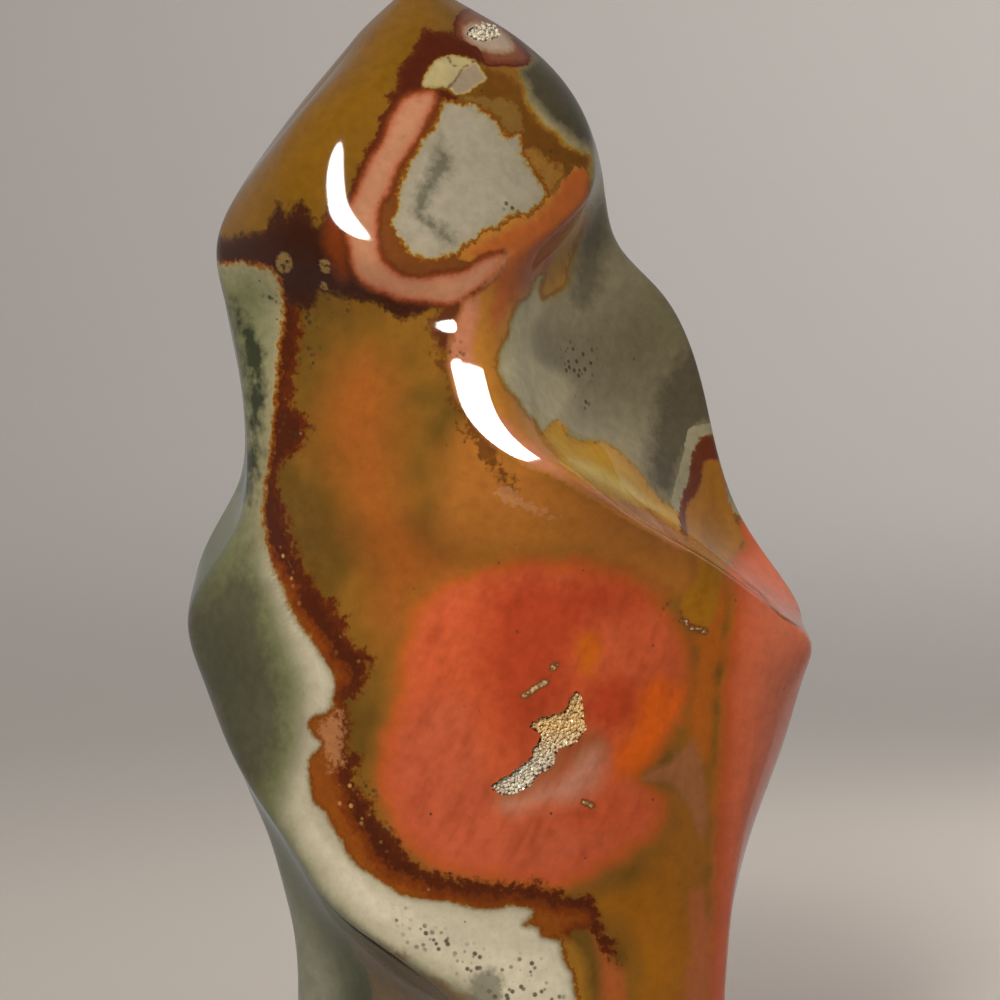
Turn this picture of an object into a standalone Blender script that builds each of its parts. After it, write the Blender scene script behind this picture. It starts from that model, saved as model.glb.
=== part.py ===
"""A polished flame-shaped freeform of polychrome jasper, with two small crystal-lined hollows.

Blender 4.5. Run with: blender --background --python part.py
The stone stands on its flat base: +Z is up, and its broad face looks along -Y.
Lengths below are millimetres, turned to metres where the meshes are made.
"""

import math
import random

import bmesh
import bpy
import numpy as np
from mathutils import Vector

MM = 0.001

# The stone's height, from its flat base to the tip of the flame.
HEIGHT = 172.0

# The six carved ridges. Each is a line up the stone through (height, x, y).
# Between two neighbouring ridges lies one ground and polished face.
RIDGES = {
    "front_right": [
        (0, 34.2, 0), (20, 35.4, 0), (38, 38.8, 0), (54, 44.0, 0), (64, 47.2, 0),
        (69.5, 48.3, -1), (74, 43.8, -5), (79, 37.4, -10.6), (84, 30.6, -17.6), (90.4, 20.4, -26.6),
        (95.5, 14.2, -31.9), (98, 11.2, -32.4), (102.3, 5.8, -30.9), (107, 2.6, -29.0), (111.6, 1.4, -27.4),
        (115, 0.8, -25.6), (118.5, 0.6, -24.2), (121, 0.8, -22.8), (125, 2.0, -20.5), (130, 5.4, -16.5),
        (134.5, 10.2, -11.5), (138.5, 13.6, -8), (146, 14.0, -7), (153.5, 11.0, -6), (160, 5.6, -5),
        (166, -2.2, -4), (172, -10.5, -2.5),
    ],
    "back_right": [
        (0, 30, 20), (30, 33.5, 19), (46, 38, 19), (58, 43, 18), (67, 46.8, 17),
        (72.5, 48.0, 16.5), (77, 46.0, 16), (82, 42.7, 15.5), (88, 39.3, 14.5), (95, 36.8, 13),
        (103, 35, 11.5), (112, 32.8, 10), (118, 30.4, 9), (124, 26.3, 8), (130, 20.4, 7),
        (136, 17.8, 6), (146, 15.0, 4.5), (153.5, 10.8, 4), (160, 5.2, 4), (166, -2.4, 3.5), (172, -10.8, 2.5),
    ],
    "back_middle": [
        (0, -8, 25), (15, -3, 25.5), (30, 6, 26), (50, 13, 26.5), (70, 6, 26),
        (90, -8, 23), (110, -18, 20), (130, -14, 19), (150, -7, 15), (160, -8, 11), (172, -12.5, 5),
    ],
    "back_left": [
        (0, -35.2, 13), (20, -35, 12.5), (32, -36.7, 12.5), (38.5, -38.2, 13), (46, -40.6, 12.5),
        (58, -43, 12), (70, -46.6, 11.5), (76, -47.9, 11), (82, -47.0, 10.5), (88, -44.2, 10),
        (94, -41.2, 9.5), (101, -40.4, 9), (110, -41.3, 8.5), (120, -43.2, 7.5), (131, -43.7, 6),
        (138, -41.4, 5), (144, -37.4, 4.5), (153.5, -30.2, 4), (162, -22.8, 3.5), (172, -14.6, 2.5),
    ],
    "front_left": [
        (0, -1.0, -26.5), (5, -1.8, -26.5), (11, -3.4, -26.2), (15.5, -5.4, -25.8), (20.5, -11.5, -24.5),
        (24, -16.8, -23), (28, -22.8, -21.5), (34.5, -29, -18), (40, -32.9, -15), (46, -37.4, -11),
        (54, -42.0, -7), (63, -45.6, -3.5), (72.5, -48.2, -1.5), (78, -46.2, -3), (84, -42.2, -6),
        (89, -39.8, -8.5), (97, -39.2, -10), (105, -39.7, -10), (113, -40.8, -9), (121, -42.3, -8),
        (131, -43.7, -7), (138, -40.9, -7), (147, -34.2, -6.5), (157, -26.0, -5.5), (165, -19.8, -4),
        (172, -14.4, -2.5),
    ],
    "front_crest": [
        (0, 33, -8), (20, 33.8, -8), (38, 33.8, -9.5), (54, 33.6, -12), (66, 33, -14), (74, 32.4, -15),
        (79, 31.6, -15.6), (84, 28.8, -19.0), (90.4, 19.0, -27.4), (95.5, 10.8, -31.4), (98, 6.4, -31.9),
        (100, 2.0, -31.0), (102.3, -1.4, -29.9), (107, -5.2, -28.0), (111.6, -6.8, -26.4), (115, -8, -25.5),
        (118.5, -9.8, -24.9), (121, -11.4, -24.1), (124, -13.6, -24.7), (128, -18.0, -26.2),
        (132.5, -22.6, -26.0), (139.5, -26.8, -23.6), (145.7, -28.4, -21.2), (153.5, -25.8, -17.2),
        (160, -19.6, -12.8), (166, -16, -8.4), (172, -12.8, -3.2),
    ],
}
RIDGE_ORDER = ["front_right", "back_right", "back_middle", "back_left", "front_left", "front_crest"]

# How far the face that starts at each ridge swells out of a straight line to the next
# ridge, by height. A negative value is a hollow, ground with the wheel.
SWELLS = {
    "front_right": [
        (0, 1.5), (40, 2), (60, 2), (70, 0.5), (80, -2.5), (92, -4.5), (105, -5.5), (118, -5),
        (128, -2.5), (138, -0.5), (150, 0.8), (172, 0.8),
    ],
    "back_right": [
        (0, 2), (30, 3), (50, 4), (70, 2), (90, -2), (110, -1), (130, 3.5), (150, 3), (172, 1),
    ],
    "back_middle": [
        (0, 2.5), (30, 1.5), (50, 1), (70, 3.5), (90, 3), (110, 0), (130, 0.5), (150, 2), (172, 1),
    ],
    "back_left": [
        (0, -2.4), (15, -2.8), (30, -2.4), (45, -0.5), (60, 1), (80, 0.4), (100, -1), (120, -1),
        (150, 0.4), (172, 0.6),
    ],
    "front_left": [
        (0, 4), (20, 6), (30, 9.5), (40, 13.5), (54, 18), (66, 19.5), (74, 18.5), (84, 14), (91, 8.5),
        (98, 3.5), (105, 2), (112, 1.5), (120, 1.5), (128, 2.5), (135, 3), (145, 2), (160, 0.6), (172, 0.2),
    ],
    "front_crest": [
        (0, 1), (40, 1.2), (66, 1.5), (76, 0.6), (84, 0), (98, 0), (110, 0), (116, 0.4), (124, 2),
        (131, 3.4), (140, 3.8), (150, 3.6), (160, 3), (172, 1),
    ],
}

# How much of the two faces beside each ridge is taken into its rounding, by height. A
# small value is a crisp edge and a large one a soft shoulder.
ROUNDINGS = {
    "front_right": [
        (0, 5), (40, 5), (60, 3), (69, 1.4), (80, 1), (88, 1.4), (94, 4), (100, 8), (108, 9),
        (118, 9), (126, 6), (132, 3), (138, 1.8), (143, 1.8), (152, 4), (172, 3),
    ],
    "front_crest": [
        (0, 6), (60, 8), (74, 6), (80, 2), (84, 0.8), (91, 0.7), (98, 0.7), (106, 0.8), (112, 1.4), (117, 3),
        (124, 5.5), (132, 6), (150, 6), (160, 4), (172, 2),
    ],
    "back_right": [(0, 4), (60, 3), (74, 1.6), (90, 3), (130, 3), (172, 2.5)],
    "back_middle": [(0, 5), (50, 3), (80, 2), (120, 4), (172, 3)],
    "back_left": [(0, 7), (30, 6), (50, 3.2), (74, 1.6), (100, 3), (172, 2)],
    "front_left": [
        (0, 4), (20, 2.6), (36, 1.8), (56, 2.4), (73, 1.5), (86, 2), (104, 4), (122, 3.4),
        (134, 1.6), (172, 1.6),
    ],
}

# No rounding takes more than this share of a face.
WIDEST_ROUNDING = 0.42

# The tip is rounded over this much of the height, and the base edge over this much.
TIP_ROUNDING = 9.0
BASE_ROUNDING = 1.2
BASE_INSET = 0.9

# Points along each face and round each ridge, and the levels up the stone.
FACE_STEPS = 8
RIDGE_STEPS = 3
LEVELS = 49

# The two hollows: the outline of each mouth, in x and z where it opens in the front.
DRUSE_OUTLINE = [
    (-1.1, 49.9), (0.6, 48.3), (4.1, 49.4), (6.0, 51.4), (8.3, 53.2), (9.0, 55.2), (11.3, 56.0),
    (13.1, 58.2), (12.8, 60.5), (12.4, 63.6), (11.4, 64.0), (10.4, 62.2), (9.2, 60.9), (6.6, 60.3),
    (4.6, 59.0), (6.2, 57.6), (5.2, 55.6), (4.8, 54.2), (3.6, 53.2), (1.4, 51.6),
]
TIP_DRUSE_OUTLINE = [
    (-5.0, 163.6), (-3.8, 164.5), (-2.2, 164.9), (-0.6, 164.5), (0.1, 163.4), (-0.9, 162.6),
    (-2.4, 162.3), (-3.9, 162.6),
]
OUTLINE_STEPS = 3

# Each hollow's outline and how deep its floor lies under the polished surface.
HOLLOWS = {
    "druse_crust": (DRUSE_OUTLINE, 2.9),
    "tip_druse_crust": (TIP_DRUSE_OUTLINE, 2.4),
}

# The crusts of small quartz points: their clearance in the hollow, their thickness, and
# the side and height of one crystal.
CRUST_GAP = 0.35
CRUST_DEPTH = 1.2
CRYSTAL_SIDE = 0.6
CRYSTAL_HEIGHT = 0.6

# The cutters start this far in front of the stone's middle.
CUTTER_FRONT = -60.0


def smooth_line(points):
    """A natural cubic spline through (height, value) points, as a function of height."""
    heights = np.array([p[0] for p in points], float)
    values = np.array([p[1] for p in points], float)
    steps = np.diff(heights)
    slopes = np.diff(values) / steps
    count = len(points)
    matrix = np.eye(count)
    right = np.zeros(count)
    for i in range(1, count - 1):
        matrix[i, i - 1 : i + 2] = steps[i - 1], 2 * (steps[i - 1] + steps[i]), steps[i]
        right[i] = 6 * (slopes[i] - slopes[i - 1])
    bends = np.linalg.solve(matrix, right)

    def value(height):
        i = int(np.clip(np.searchsorted(heights, height) - 1, 0, count - 2))
        before = heights[i + 1] - height
        after = height - heights[i]
        step = steps[i]
        curve = (bends[i] * before**3 + bends[i + 1] * after**3) / (6 * step)
        start = (values[i] / step - bends[i] * step / 6) * before
        end = (values[i + 1] / step - bends[i + 1] * step / 6) * after
        return curve + start + end

    return value


def column(points, index):
    """One column of a ridge's points, as (height, value)."""
    return [(p[0], p[index]) for p in points]


RIDGE_X = {name: smooth_line(column(points, 1)) for name, points in RIDGES.items()}
RIDGE_Y = {name: smooth_line(column(points, 2)) for name, points in RIDGES.items()}
SWELL = {name: smooth_line(points) for name, points in SWELLS.items()}
ROUNDING = {name: smooth_line(points) for name, points in ROUNDINGS.items()}


def face_point(start, end, swell, share):
    """A point on one face's line at one height, swollen or hollowed between its ridges."""
    along = end - start
    outward = np.array([along[1], -along[0]]) / np.linalg.norm(along)
    return start + along * share + outward * swell * 4 * share * (1 - share)


def section(height, face_steps, ridge_steps):
    """The stone's outline at one height: six faces, joined by rounded ridges."""
    corners = [np.array([RIDGE_X[n](height), RIDGE_Y[n](height)]) for n in RIDGE_ORDER]
    swells = [SWELL[n](height) for n in RIDGE_ORDER]
    widths = [ROUNDING[n](height) for n in RIDGE_ORDER]
    count = len(corners)
    outline = []
    for i in range(count):
        following = (i + 1) % count
        start, end, after = corners[i], corners[following], corners[(i + 2) % count]
        length = np.linalg.norm(end - start)
        first = min(widths[i] / length, WIDEST_ROUNDING)
        last = 1 - min(widths[following] / length, WIDEST_ROUNDING)
        for share in np.linspace(first, last, face_steps):
            outline.append(face_point(start, end, swells[i], share))
        next_first = min(widths[following] / np.linalg.norm(after - end), WIDEST_ROUNDING)
        leave = face_point(start, end, swells[i], last)
        arrive = face_point(end, after, swells[following], next_first)
        for share in np.linspace(0, 1, ridge_steps + 2)[1:-1]:
            curve = leave * (1 - share) ** 2 + end * 2 * share * (1 - share) + arrive * share**2
            outline.append(curve)
    return np.array(outline)


def levels(count):
    """Heights up the stone: even along the body, and closer together on the rounded tip."""
    shoulder = HEIGHT - TIP_ROUNDING
    body = np.linspace(BASE_ROUNDING, shoulder, count)
    tip_steps = max(4, count // 7)
    angles = np.linspace(0, math.pi / 2, tip_steps + 1)[1:-1]
    tip = shoulder + TIP_ROUNDING * np.sin(angles)
    return list(body) + list(tip)


def tip_share(height):
    """How much of its section is left at a height on the rounded tip."""
    above = max(0.0, height - (HEIGHT - TIP_ROUNDING)) / TIP_ROUNDING
    return math.sqrt(max(0.0, 1 - above**2))


def stone_rings(level_count, face_steps, ridge_steps):
    """The stone's outlines from its base up, as arrays of points in millimetres."""
    rings = []
    base = section(0, face_steps, ridge_steps)
    middle = base.mean(axis=0)
    reach = np.linalg.norm(base - middle, axis=1, keepdims=True)
    inset = middle + (base - middle) * (1 - BASE_INSET / reach)
    rings.append(np.column_stack([inset, np.zeros(len(inset))]))
    for height in levels(level_count):
        outline = section(height, face_steps, ridge_steps)
        middle = outline.mean(axis=0)
        outline = middle + (outline - middle) * tip_share(height)
        rings.append(np.column_stack([outline, np.full(len(outline), height)]))
    return rings


def loft(name, rings, tip):
    """A closed mesh through the rings, with a flat base and one point at the tip."""
    mesh = bpy.data.meshes.new(name)
    shape = bmesh.new()
    made = [[shape.verts.new(Vector(p) * MM) for p in ring] for ring in rings]
    top = shape.verts.new(Vector(tip) * MM)
    count = len(made[0])
    for lower, upper in zip(made, made[1:]):
        for i in range(count):
            j = (i + 1) % count
            shape.faces.new((lower[i], lower[j], upper[j], upper[i]))
    for i in range(count):
        shape.faces.new((made[-1][i], made[-1][(i + 1) % count], top))
    shape.faces.new(list(reversed(made[0])))
    bmesh.ops.recalc_face_normals(shape, faces=shape.faces)
    shape.to_mesh(mesh)
    shape.free()
    return mesh


def centred(rings):
    """The rings moved so that the stone's box is centred on the Z axis."""
    points = np.concatenate(rings)
    shift = (points[:, :2].min(axis=0) + points[:, :2].max(axis=0)) / 2
    return [ring - np.array([*shift, 0]) for ring in rings], shift


def material(name, colour, roughness):
    """A plain Principled finish in the piece's main colour."""
    made = bpy.data.materials.new(name)
    made.use_nodes = True
    shader = made.node_tree.nodes["Principled BSDF"]
    shader.inputs["Base Color"].default_value = (*colour, 1)
    shader.inputs["Roughness"].default_value = roughness
    shader.inputs["Metallic"].default_value = 0
    return made


def collection(name):
    made = bpy.data.collections.new(name)
    bpy.context.scene.collection.children.link(made)
    return made


def closed_outline(points):
    """A smooth closed outline through the points, in a few steps between each two."""
    count = len(points)
    made = []
    for i in range(count):
        before, start, end, after = (Vector(points[(i + k) % count]) for k in (-1, 0, 1, 2))
        for step in range(OUTLINE_STEPS):
            t = step / OUTLINE_STEPS
            slope_in = (end - before) / 2
            slope_out = (after - start) / 2
            a = 2 * t**3 - 3 * t**2 + 1
            b = t**3 - 2 * t**2 + t
            made.append(start * a + slope_in * b + end * (1 - a) + slope_out * (t**3 - t**2))
    return made


def surface_y(stone, x, z):
    """The front surface's y at a place, found with a ray from the front, in metres."""
    hit, place, _, _ = stone.ray_cast(Vector((x, -0.2, z)), Vector((0, 1, 0)))
    if not hit:
        raise ValueError(f"no stone in front of x {x}, z {z}")
    return place.y


def inside(point, outline):
    """Whether a point in x and z lies within an outline."""
    found = False
    for (x0, z0), (x1, z1) in zip(outline, outline[1:] + outline[:1]):
        if (z0 > point[1]) != (z1 > point[1]):
            if point[0] < (x1 - x0) * (point[1] - z0) / (z1 - z0) + x0:
                found = not found
    return found


def edge_distance(point, outline):
    """How far a point lies from an outline's nearest edge."""
    nearest = float("inf")
    for start, end in zip(outline, outline[1:] + outline[:1]):
        along = end - start
        share = max(0.0, min(1.0, (point - start).dot(along) / along.length_squared))
        nearest = min(nearest, (start + along * share - point).length)
    return nearest


def hollow_floor(stone, outline, depth):
    """The plane under a hollow: its middle, and the slope of y with x and with z."""
    middle = sum(outline, Vector((0, 0))) / len(outline)
    reach = 1.5 * MM
    rows = []
    for dx in (-reach, 0, reach):
        for dz in (-reach / 2, 0, reach / 2):
            rows.append((dx, dz, surface_y(stone, middle.x + dx, middle.y + dz)))
    table = np.array(rows)
    matrix = np.column_stack([table[:, 0], table[:, 1], np.ones(len(table))])
    slope_x, slope_z, level = np.linalg.lstsq(matrix, table[:, 2], rcond=None)[0]
    return middle, slope_x, slope_z, level + depth


def hollow_cutter(name, outline, floor):
    """A closed prism from in front of the stone to the hollow's floor."""
    middle, slope_x, slope_z, level = floor
    shape = bmesh.new()
    near = [shape.verts.new((p.x, CUTTER_FRONT * MM, p.y)) for p in outline]
    far = []
    for p in outline:
        y = level + slope_x * (p.x - middle.x) + slope_z * (p.y - middle.y)
        far.append(shape.verts.new((p.x, y, p.y)))
    count = len(outline)
    for i in range(count):
        j = (i + 1) % count
        shape.faces.new((near[i], near[j], far[j], far[i]))
    shape.faces.new(near)
    shape.faces.new(far)
    bmesh.ops.recalc_face_normals(shape, faces=shape.faces)
    mesh = bpy.data.meshes.new(name)
    shape.to_mesh(mesh)
    shape.free()
    return bpy.data.objects.new(name, mesh)


def crystal_crust(name, outline, floor):
    """A crust that lines a hollow's floor: a thin plate whose front is small pyramids."""
    middle, slope_x, slope_z, level = floor
    side = CRYSTAL_SIDE * MM
    gap = CRUST_GAP * MM
    low_x, high_x = min(p.x for p in outline), max(p.x for p in outline)
    low_z, high_z = min(p.y for p in outline), max(p.y for p in outline)
    columns = int((high_x - low_x) / side) + 1
    rows = int((high_z - low_z) / side) + 1

    def place(i, j):
        return Vector((low_x + i * side, low_z + j * side))

    cells = set()
    for i in range(columns):
        for j in range(rows):
            corners = [place(i + a, j + b) for a in (0, 1) for b in (0, 1)]
            if all(inside(c, outline) and edge_distance(c, outline) > gap for c in corners):
                cells.add((i, j))
    cells = joined_cells(cells)
    shape = bmesh.new()
    places = {}

    def vertex(i, j):
        if (i, j) not in places:
            x, z = place(i, j)
            y = level - gap + slope_x * (x - middle.x) + slope_z * (z - middle.y)
            places[i, j] = shape.verts.new((x, y, z))
        return places[i, j]

    for i, j in sorted(cells):
        shape.faces.new((vertex(i, j), vertex(i + 1, j), vertex(i + 1, j + 1), vertex(i, j + 1)))
    raised = bmesh.ops.extrude_face_region(shape, geom=list(shape.faces), use_keep_orig=True)
    front_verts = [g for g in raised["geom"] if isinstance(g, bmesh.types.BMVert)]
    front_faces = [g for g in raised["geom"] if isinstance(g, bmesh.types.BMFace)]
    bmesh.ops.translate(shape, verts=front_verts, vec=(0, -CRUST_DEPTH * MM, 0))
    bmesh.ops.recalc_face_normals(shape, faces=shape.faces)
    heights = random.Random(name)
    for face in front_faces:
        peak = CRYSTAL_HEIGHT * MM * heights.uniform(0.4, 1.0)
        point = bmesh.ops.poke(shape, faces=[face])["verts"][0]
        point.co.y -= peak
        point.co.x += side * heights.uniform(-0.2, 0.2)
        point.co.z += side * heights.uniform(-0.2, 0.2)
    bmesh.ops.recalc_face_normals(shape, faces=shape.faces)
    mesh = bpy.data.meshes.new(name)
    shape.to_mesh(mesh)
    shape.free()
    return bpy.data.objects.new(name, mesh)


def joined_cells(cells):
    """The largest patch of cells that share sides, so that the crust is one piece."""
    left = set(cells)
    best = set()
    while left:
        patch, edge = set(), [left.pop()]
        while edge:
            i, j = edge.pop()
            patch.add((i, j))
            for near in ((i + 1, j), (i - 1, j), (i, j + 1), (i, j - 1)):
                if near in left:
                    left.remove(near)
                    edge.append(near)
        best = max(best, patch, key=len)
    return {c for c in best if not loose_corner(c, best)}


def loose_corner(cell, patch):
    """Whether a cell meets another of the patch at a corner alone."""
    i, j = cell
    for a, b in ((1, 1), (1, -1), (-1, 1), (-1, -1)):
        alone = (i + a, j) not in patch and (i, j + b) not in patch
        if (i + a, j + b) in patch and alone:
            return True
    return False


def main():
    for old in list(bpy.data.objects):
        bpy.data.objects.remove(old)
    parts = collection("jasper_freeform")
    cutters = collection("cutters")

    rings, shift = centred(stone_rings(LEVELS, FACE_STEPS, RIDGE_STEPS))
    last = rings[-1]
    tip = np.array([*last[:, :2].mean(axis=0), HEIGHT])
    stone = bpy.data.objects.new("jasper_stone", loft("jasper_stone", rings, tip))
    parts.objects.link(stone)
    stone.data.materials.append(material("polished_jasper", (0.36, 0.17, 0.05), 0.12))
    bpy.context.view_layer.update()

    crystal = material("druse_crystal", (0.62, 0.52, 0.36), 0.3)
    for name, (outline, depth) in HOLLOWS.items():
        placed = [Vector((x - shift[0], z)) * MM for x, z in closed_outline(outline)]
        floor = hollow_floor(stone, placed, depth * MM)
        cutter = hollow_cutter(f"{name}_cutter", placed, floor)
        cutter.hide_render = True
        cutter.display_type = "WIRE"
        cutters.objects.link(cutter)
        crust = crystal_crust(name, placed, floor)
        crust.data.materials.append(crystal)
        parts.objects.link(crust)
        cut = stone.modifiers.new(f"{name}_hollow", "BOOLEAN")
        cut.operation = "DIFFERENCE"
        cut.object = cutter

    stone.data.shade_smooth()
    stone.data.set_sharp_from_angle(angle=math.radians(30))


main()
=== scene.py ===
"""The looks of a polished flame-shaped freeform of polychrome jasper.

The stone is lofted again through the same six ridges as its solid, with a finer mesh. Its
markings are laid one over another, each with its own edge, as the bands lie in the rock.
Lengths are millimetres, turned to metres where the meshes are made.
"""

import math
import random

import bmesh
import bpy
import numpy as np
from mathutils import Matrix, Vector
from mathutils.bvhtree import BVHTree


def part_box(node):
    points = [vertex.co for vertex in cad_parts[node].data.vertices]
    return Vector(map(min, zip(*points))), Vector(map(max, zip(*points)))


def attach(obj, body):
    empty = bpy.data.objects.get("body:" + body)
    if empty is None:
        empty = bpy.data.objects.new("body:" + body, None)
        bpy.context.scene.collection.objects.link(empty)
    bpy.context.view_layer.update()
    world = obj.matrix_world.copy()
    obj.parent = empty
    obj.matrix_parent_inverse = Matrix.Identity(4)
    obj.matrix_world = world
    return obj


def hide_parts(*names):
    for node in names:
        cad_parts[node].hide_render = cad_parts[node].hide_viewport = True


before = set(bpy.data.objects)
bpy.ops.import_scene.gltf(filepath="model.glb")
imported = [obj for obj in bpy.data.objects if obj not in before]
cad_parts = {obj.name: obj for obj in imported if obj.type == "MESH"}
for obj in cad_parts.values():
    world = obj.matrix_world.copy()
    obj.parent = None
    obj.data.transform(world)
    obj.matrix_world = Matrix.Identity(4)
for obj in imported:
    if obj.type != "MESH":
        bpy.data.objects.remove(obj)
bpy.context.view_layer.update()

MM = 0.001

# The stone's height, from its flat base to the tip of the flame.
HEIGHT = 172.0

# The six carved ridges. Each is a line up the stone through (height, x, y).
# Between two neighbouring ridges lies one ground and polished face.
RIDGES = {
    "front_right": [
        (0, 34.2, 0), (20, 35.4, 0), (38, 38.8, 0), (54, 44.0, 0), (64, 47.2, 0), (69.5, 48.3, -1),
        (74, 43.8, -5), (79, 37.4, -10.6), (84, 30.6, -17.6), (90.4, 20.4, -26.6),
        (95.5, 14.2, -31.9), (98, 11.2, -32.4), (102.3, 5.8, -30.9), (107, 2.6, -29.0),
        (111.6, 1.4, -27.4), (115, 0.8, -25.6), (118.5, 0.6, -24.2), (121, 0.8, -22.8),
        (125, 2.0, -20.5), (130, 5.4, -16.5), (134.5, 10.2, -11.5), (138.5, 13.6, -8),
        (146, 14.0, -7), (153.5, 11.0, -6), (160, 5.6, -5), (166, -2.2, -4), (172, -10.5, -2.5),
    ],
    "back_right": [
        (0, 30, 20), (30, 33.5, 19), (46, 38, 19), (58, 43, 18), (67, 46.8, 17), (72.5, 48.0, 16.5),
        (77, 46.0, 16), (82, 42.7, 15.5), (88, 39.3, 14.5), (95, 36.8, 13), (103, 35, 11.5),
        (112, 32.8, 10), (118, 30.4, 9), (124, 26.3, 8), (130, 20.4, 7), (136, 17.8, 6),
        (146, 15.0, 4.5), (153.5, 10.8, 4), (160, 5.2, 4), (166, -2.4, 3.5), (172, -10.8, 2.5),
    ],
    "back_middle": [
        (0, -8, 25), (15, -3, 25.5), (30, 6, 26), (50, 13, 26.5), (70, 6, 26),
        (90, -8, 23), (110, -18, 20), (130, -14, 19), (150, -7, 15), (160, -8, 11), (172, -12.5, 5),
    ],
    "back_left": [
        (0, -35.2, 13), (20, -35, 12.5), (32, -36.7, 12.5), (38.5, -38.2, 13), (46, -40.6, 12.5),
        (58, -43, 12), (70, -46.6, 11.5), (76, -47.9, 11), (82, -47.0, 10.5), (88, -44.2, 10),
        (94, -41.2, 9.5), (101, -40.4, 9), (110, -41.3, 8.5), (120, -43.2, 7.5), (131, -43.7, 6),
        (138, -41.4, 5), (144, -37.4, 4.5), (153.5, -30.2, 4), (162, -22.8, 3.5), (172, -14.6, 2.5),
    ],
    "front_left": [
        (0, -1.0, -26.5), (5, -1.8, -26.5), (11, -3.4, -26.2), (15.5, -5.4, -25.8),
        (20.5, -11.5, -24.5), (24, -16.8, -23), (28, -22.8, -21.5), (34.5, -29, -18),
        (40, -32.9, -15), (46, -37.4, -11), (54, -42.0, -7), (63, -45.6, -3.5), (72.5, -48.2, -1.5),
        (78, -46.2, -3), (84, -42.2, -6), (89, -39.8, -8.5), (97, -39.2, -10), (105, -39.7, -10),
        (113, -40.8, -9), (121, -42.3, -8), (131, -43.7, -7), (138, -40.9, -7), (147, -34.2, -6.5),
        (157, -26.0, -5.5), (165, -19.8, -4), (172, -14.4, -2.5),
    ],
    "front_crest": [
        (0, 33, -8), (20, 33.8, -8), (38, 33.8, -9.5), (54, 33.6, -12), (66, 33, -14),
        (74, 32.4, -15), (79, 31.6, -15.6), (84, 28.8, -19.0), (90.4, 19.0, -27.4),
        (95.5, 10.8, -31.4), (98, 6.4, -31.9), (100, 2.0, -31.0), (102.3, -1.4, -29.9),
        (107, -5.2, -28.0), (111.6, -6.8, -26.4), (115, -8, -25.5), (118.5, -9.8, -24.9),
        (121, -11.4, -24.1), (124, -13.6, -24.7), (128, -18.0, -26.2), (132.5, -22.6, -26.0),
        (139.5, -26.8, -23.6), (145.7, -28.4, -21.2), (153.5, -25.8, -17.2), (160, -19.6, -12.8),
        (166, -16, -8.4), (172, -12.8, -3.2),
    ],
}
RIDGE_ORDER = ["front_right", "back_right", "back_middle", "back_left", "front_left", "front_crest"]

# How far the face that starts at each ridge swells out of a straight line to the next
# ridge, by height. A negative value is a hollow, ground with the wheel.
SWELLS = {
    "front_right": [
        (0, 1.5), (40, 2), (60, 2), (70, 0.5), (80, -2.5), (92, -4.5), (105, -5.5), (118, -5),
        (128, -2.5), (138, -0.5), (150, 0.8), (172, 0.8),
    ],
    "back_right": [
        (0, 2), (30, 3), (50, 4), (70, 2), (90, -2), (110, -1), (130, 3.5), (150, 3), (172, 1),
    ],
    "back_middle": [
        (0, 2.5), (30, 1.5), (50, 1), (70, 3.5), (90, 3), (110, 0), (130, 0.5), (150, 2), (172, 1),
    ],
    "back_left": [
        (0, -2.4), (15, -2.8), (30, -2.4), (45, -0.5), (60, 1), (80, 0.4), (100, -1), (120, -1),
        (150, 0.4), (172, 0.6),
    ],
    "front_left": [
        (0, 4), (20, 6), (30, 9.5), (40, 13.5), (54, 18), (66, 19.5), (74, 18.5), (84, 14),
        (91, 8.5), (98, 3.5), (105, 2), (112, 1.5), (120, 1.5), (128, 2.5), (135, 3), (145, 2),
        (160, 0.6), (172, 0.2),
    ],
    "front_crest": [
        (0, 1), (40, 1.2), (66, 1.5), (76, 0.6), (84, 0), (98, 0), (110, 0), (116, 0.4), (124, 2),
        (131, 3.4), (140, 3.8), (150, 3.6), (160, 3), (172, 1),
    ],
}

# How much of the two faces beside each ridge is taken into its rounding, by height. A
# small value is a crisp edge and a large one a soft shoulder.
ROUNDINGS = {
    "front_right": [
        (0, 5), (40, 5), (60, 3), (69, 1.4), (80, 1), (88, 1.4), (94, 4), (100, 8), (108, 9),
        (118, 9), (126, 6), (132, 3), (138, 1.8), (143, 1.8), (152, 4), (172, 3),
    ],
    "front_crest": [
        (0, 6), (60, 8), (74, 6), (80, 2), (84, 0.8), (91, 0.7), (98, 0.7), (106, 0.8), (112, 1.4),
        (117, 3), (124, 5.5), (132, 6), (150, 6), (160, 4), (172, 2),
    ],
    "back_right": [(0, 4), (60, 3), (74, 1.6), (90, 3), (130, 3), (172, 2.5)],
    "back_middle": [(0, 5), (50, 3), (80, 2), (120, 4), (172, 3)],
    "back_left": [(0, 7), (30, 6), (50, 3.2), (74, 1.6), (100, 3), (172, 2)],
    "front_left": [
        (0, 4), (20, 2.6), (36, 1.8), (56, 2.4), (73, 1.5), (86, 2), (104, 4), (122, 3.4),
        (134, 1.6), (172, 1.6),
    ],
}

# No rounding takes more than this share of a face.
WIDEST_ROUNDING = 0.42

# The tip is rounded over this much of the height, and the base edge over this much of it
# and by this much inward.
TIP_ROUNDING = 9.0
BASE_ROUNDING = 1.2
BASE_INSET = 0.9

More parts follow.
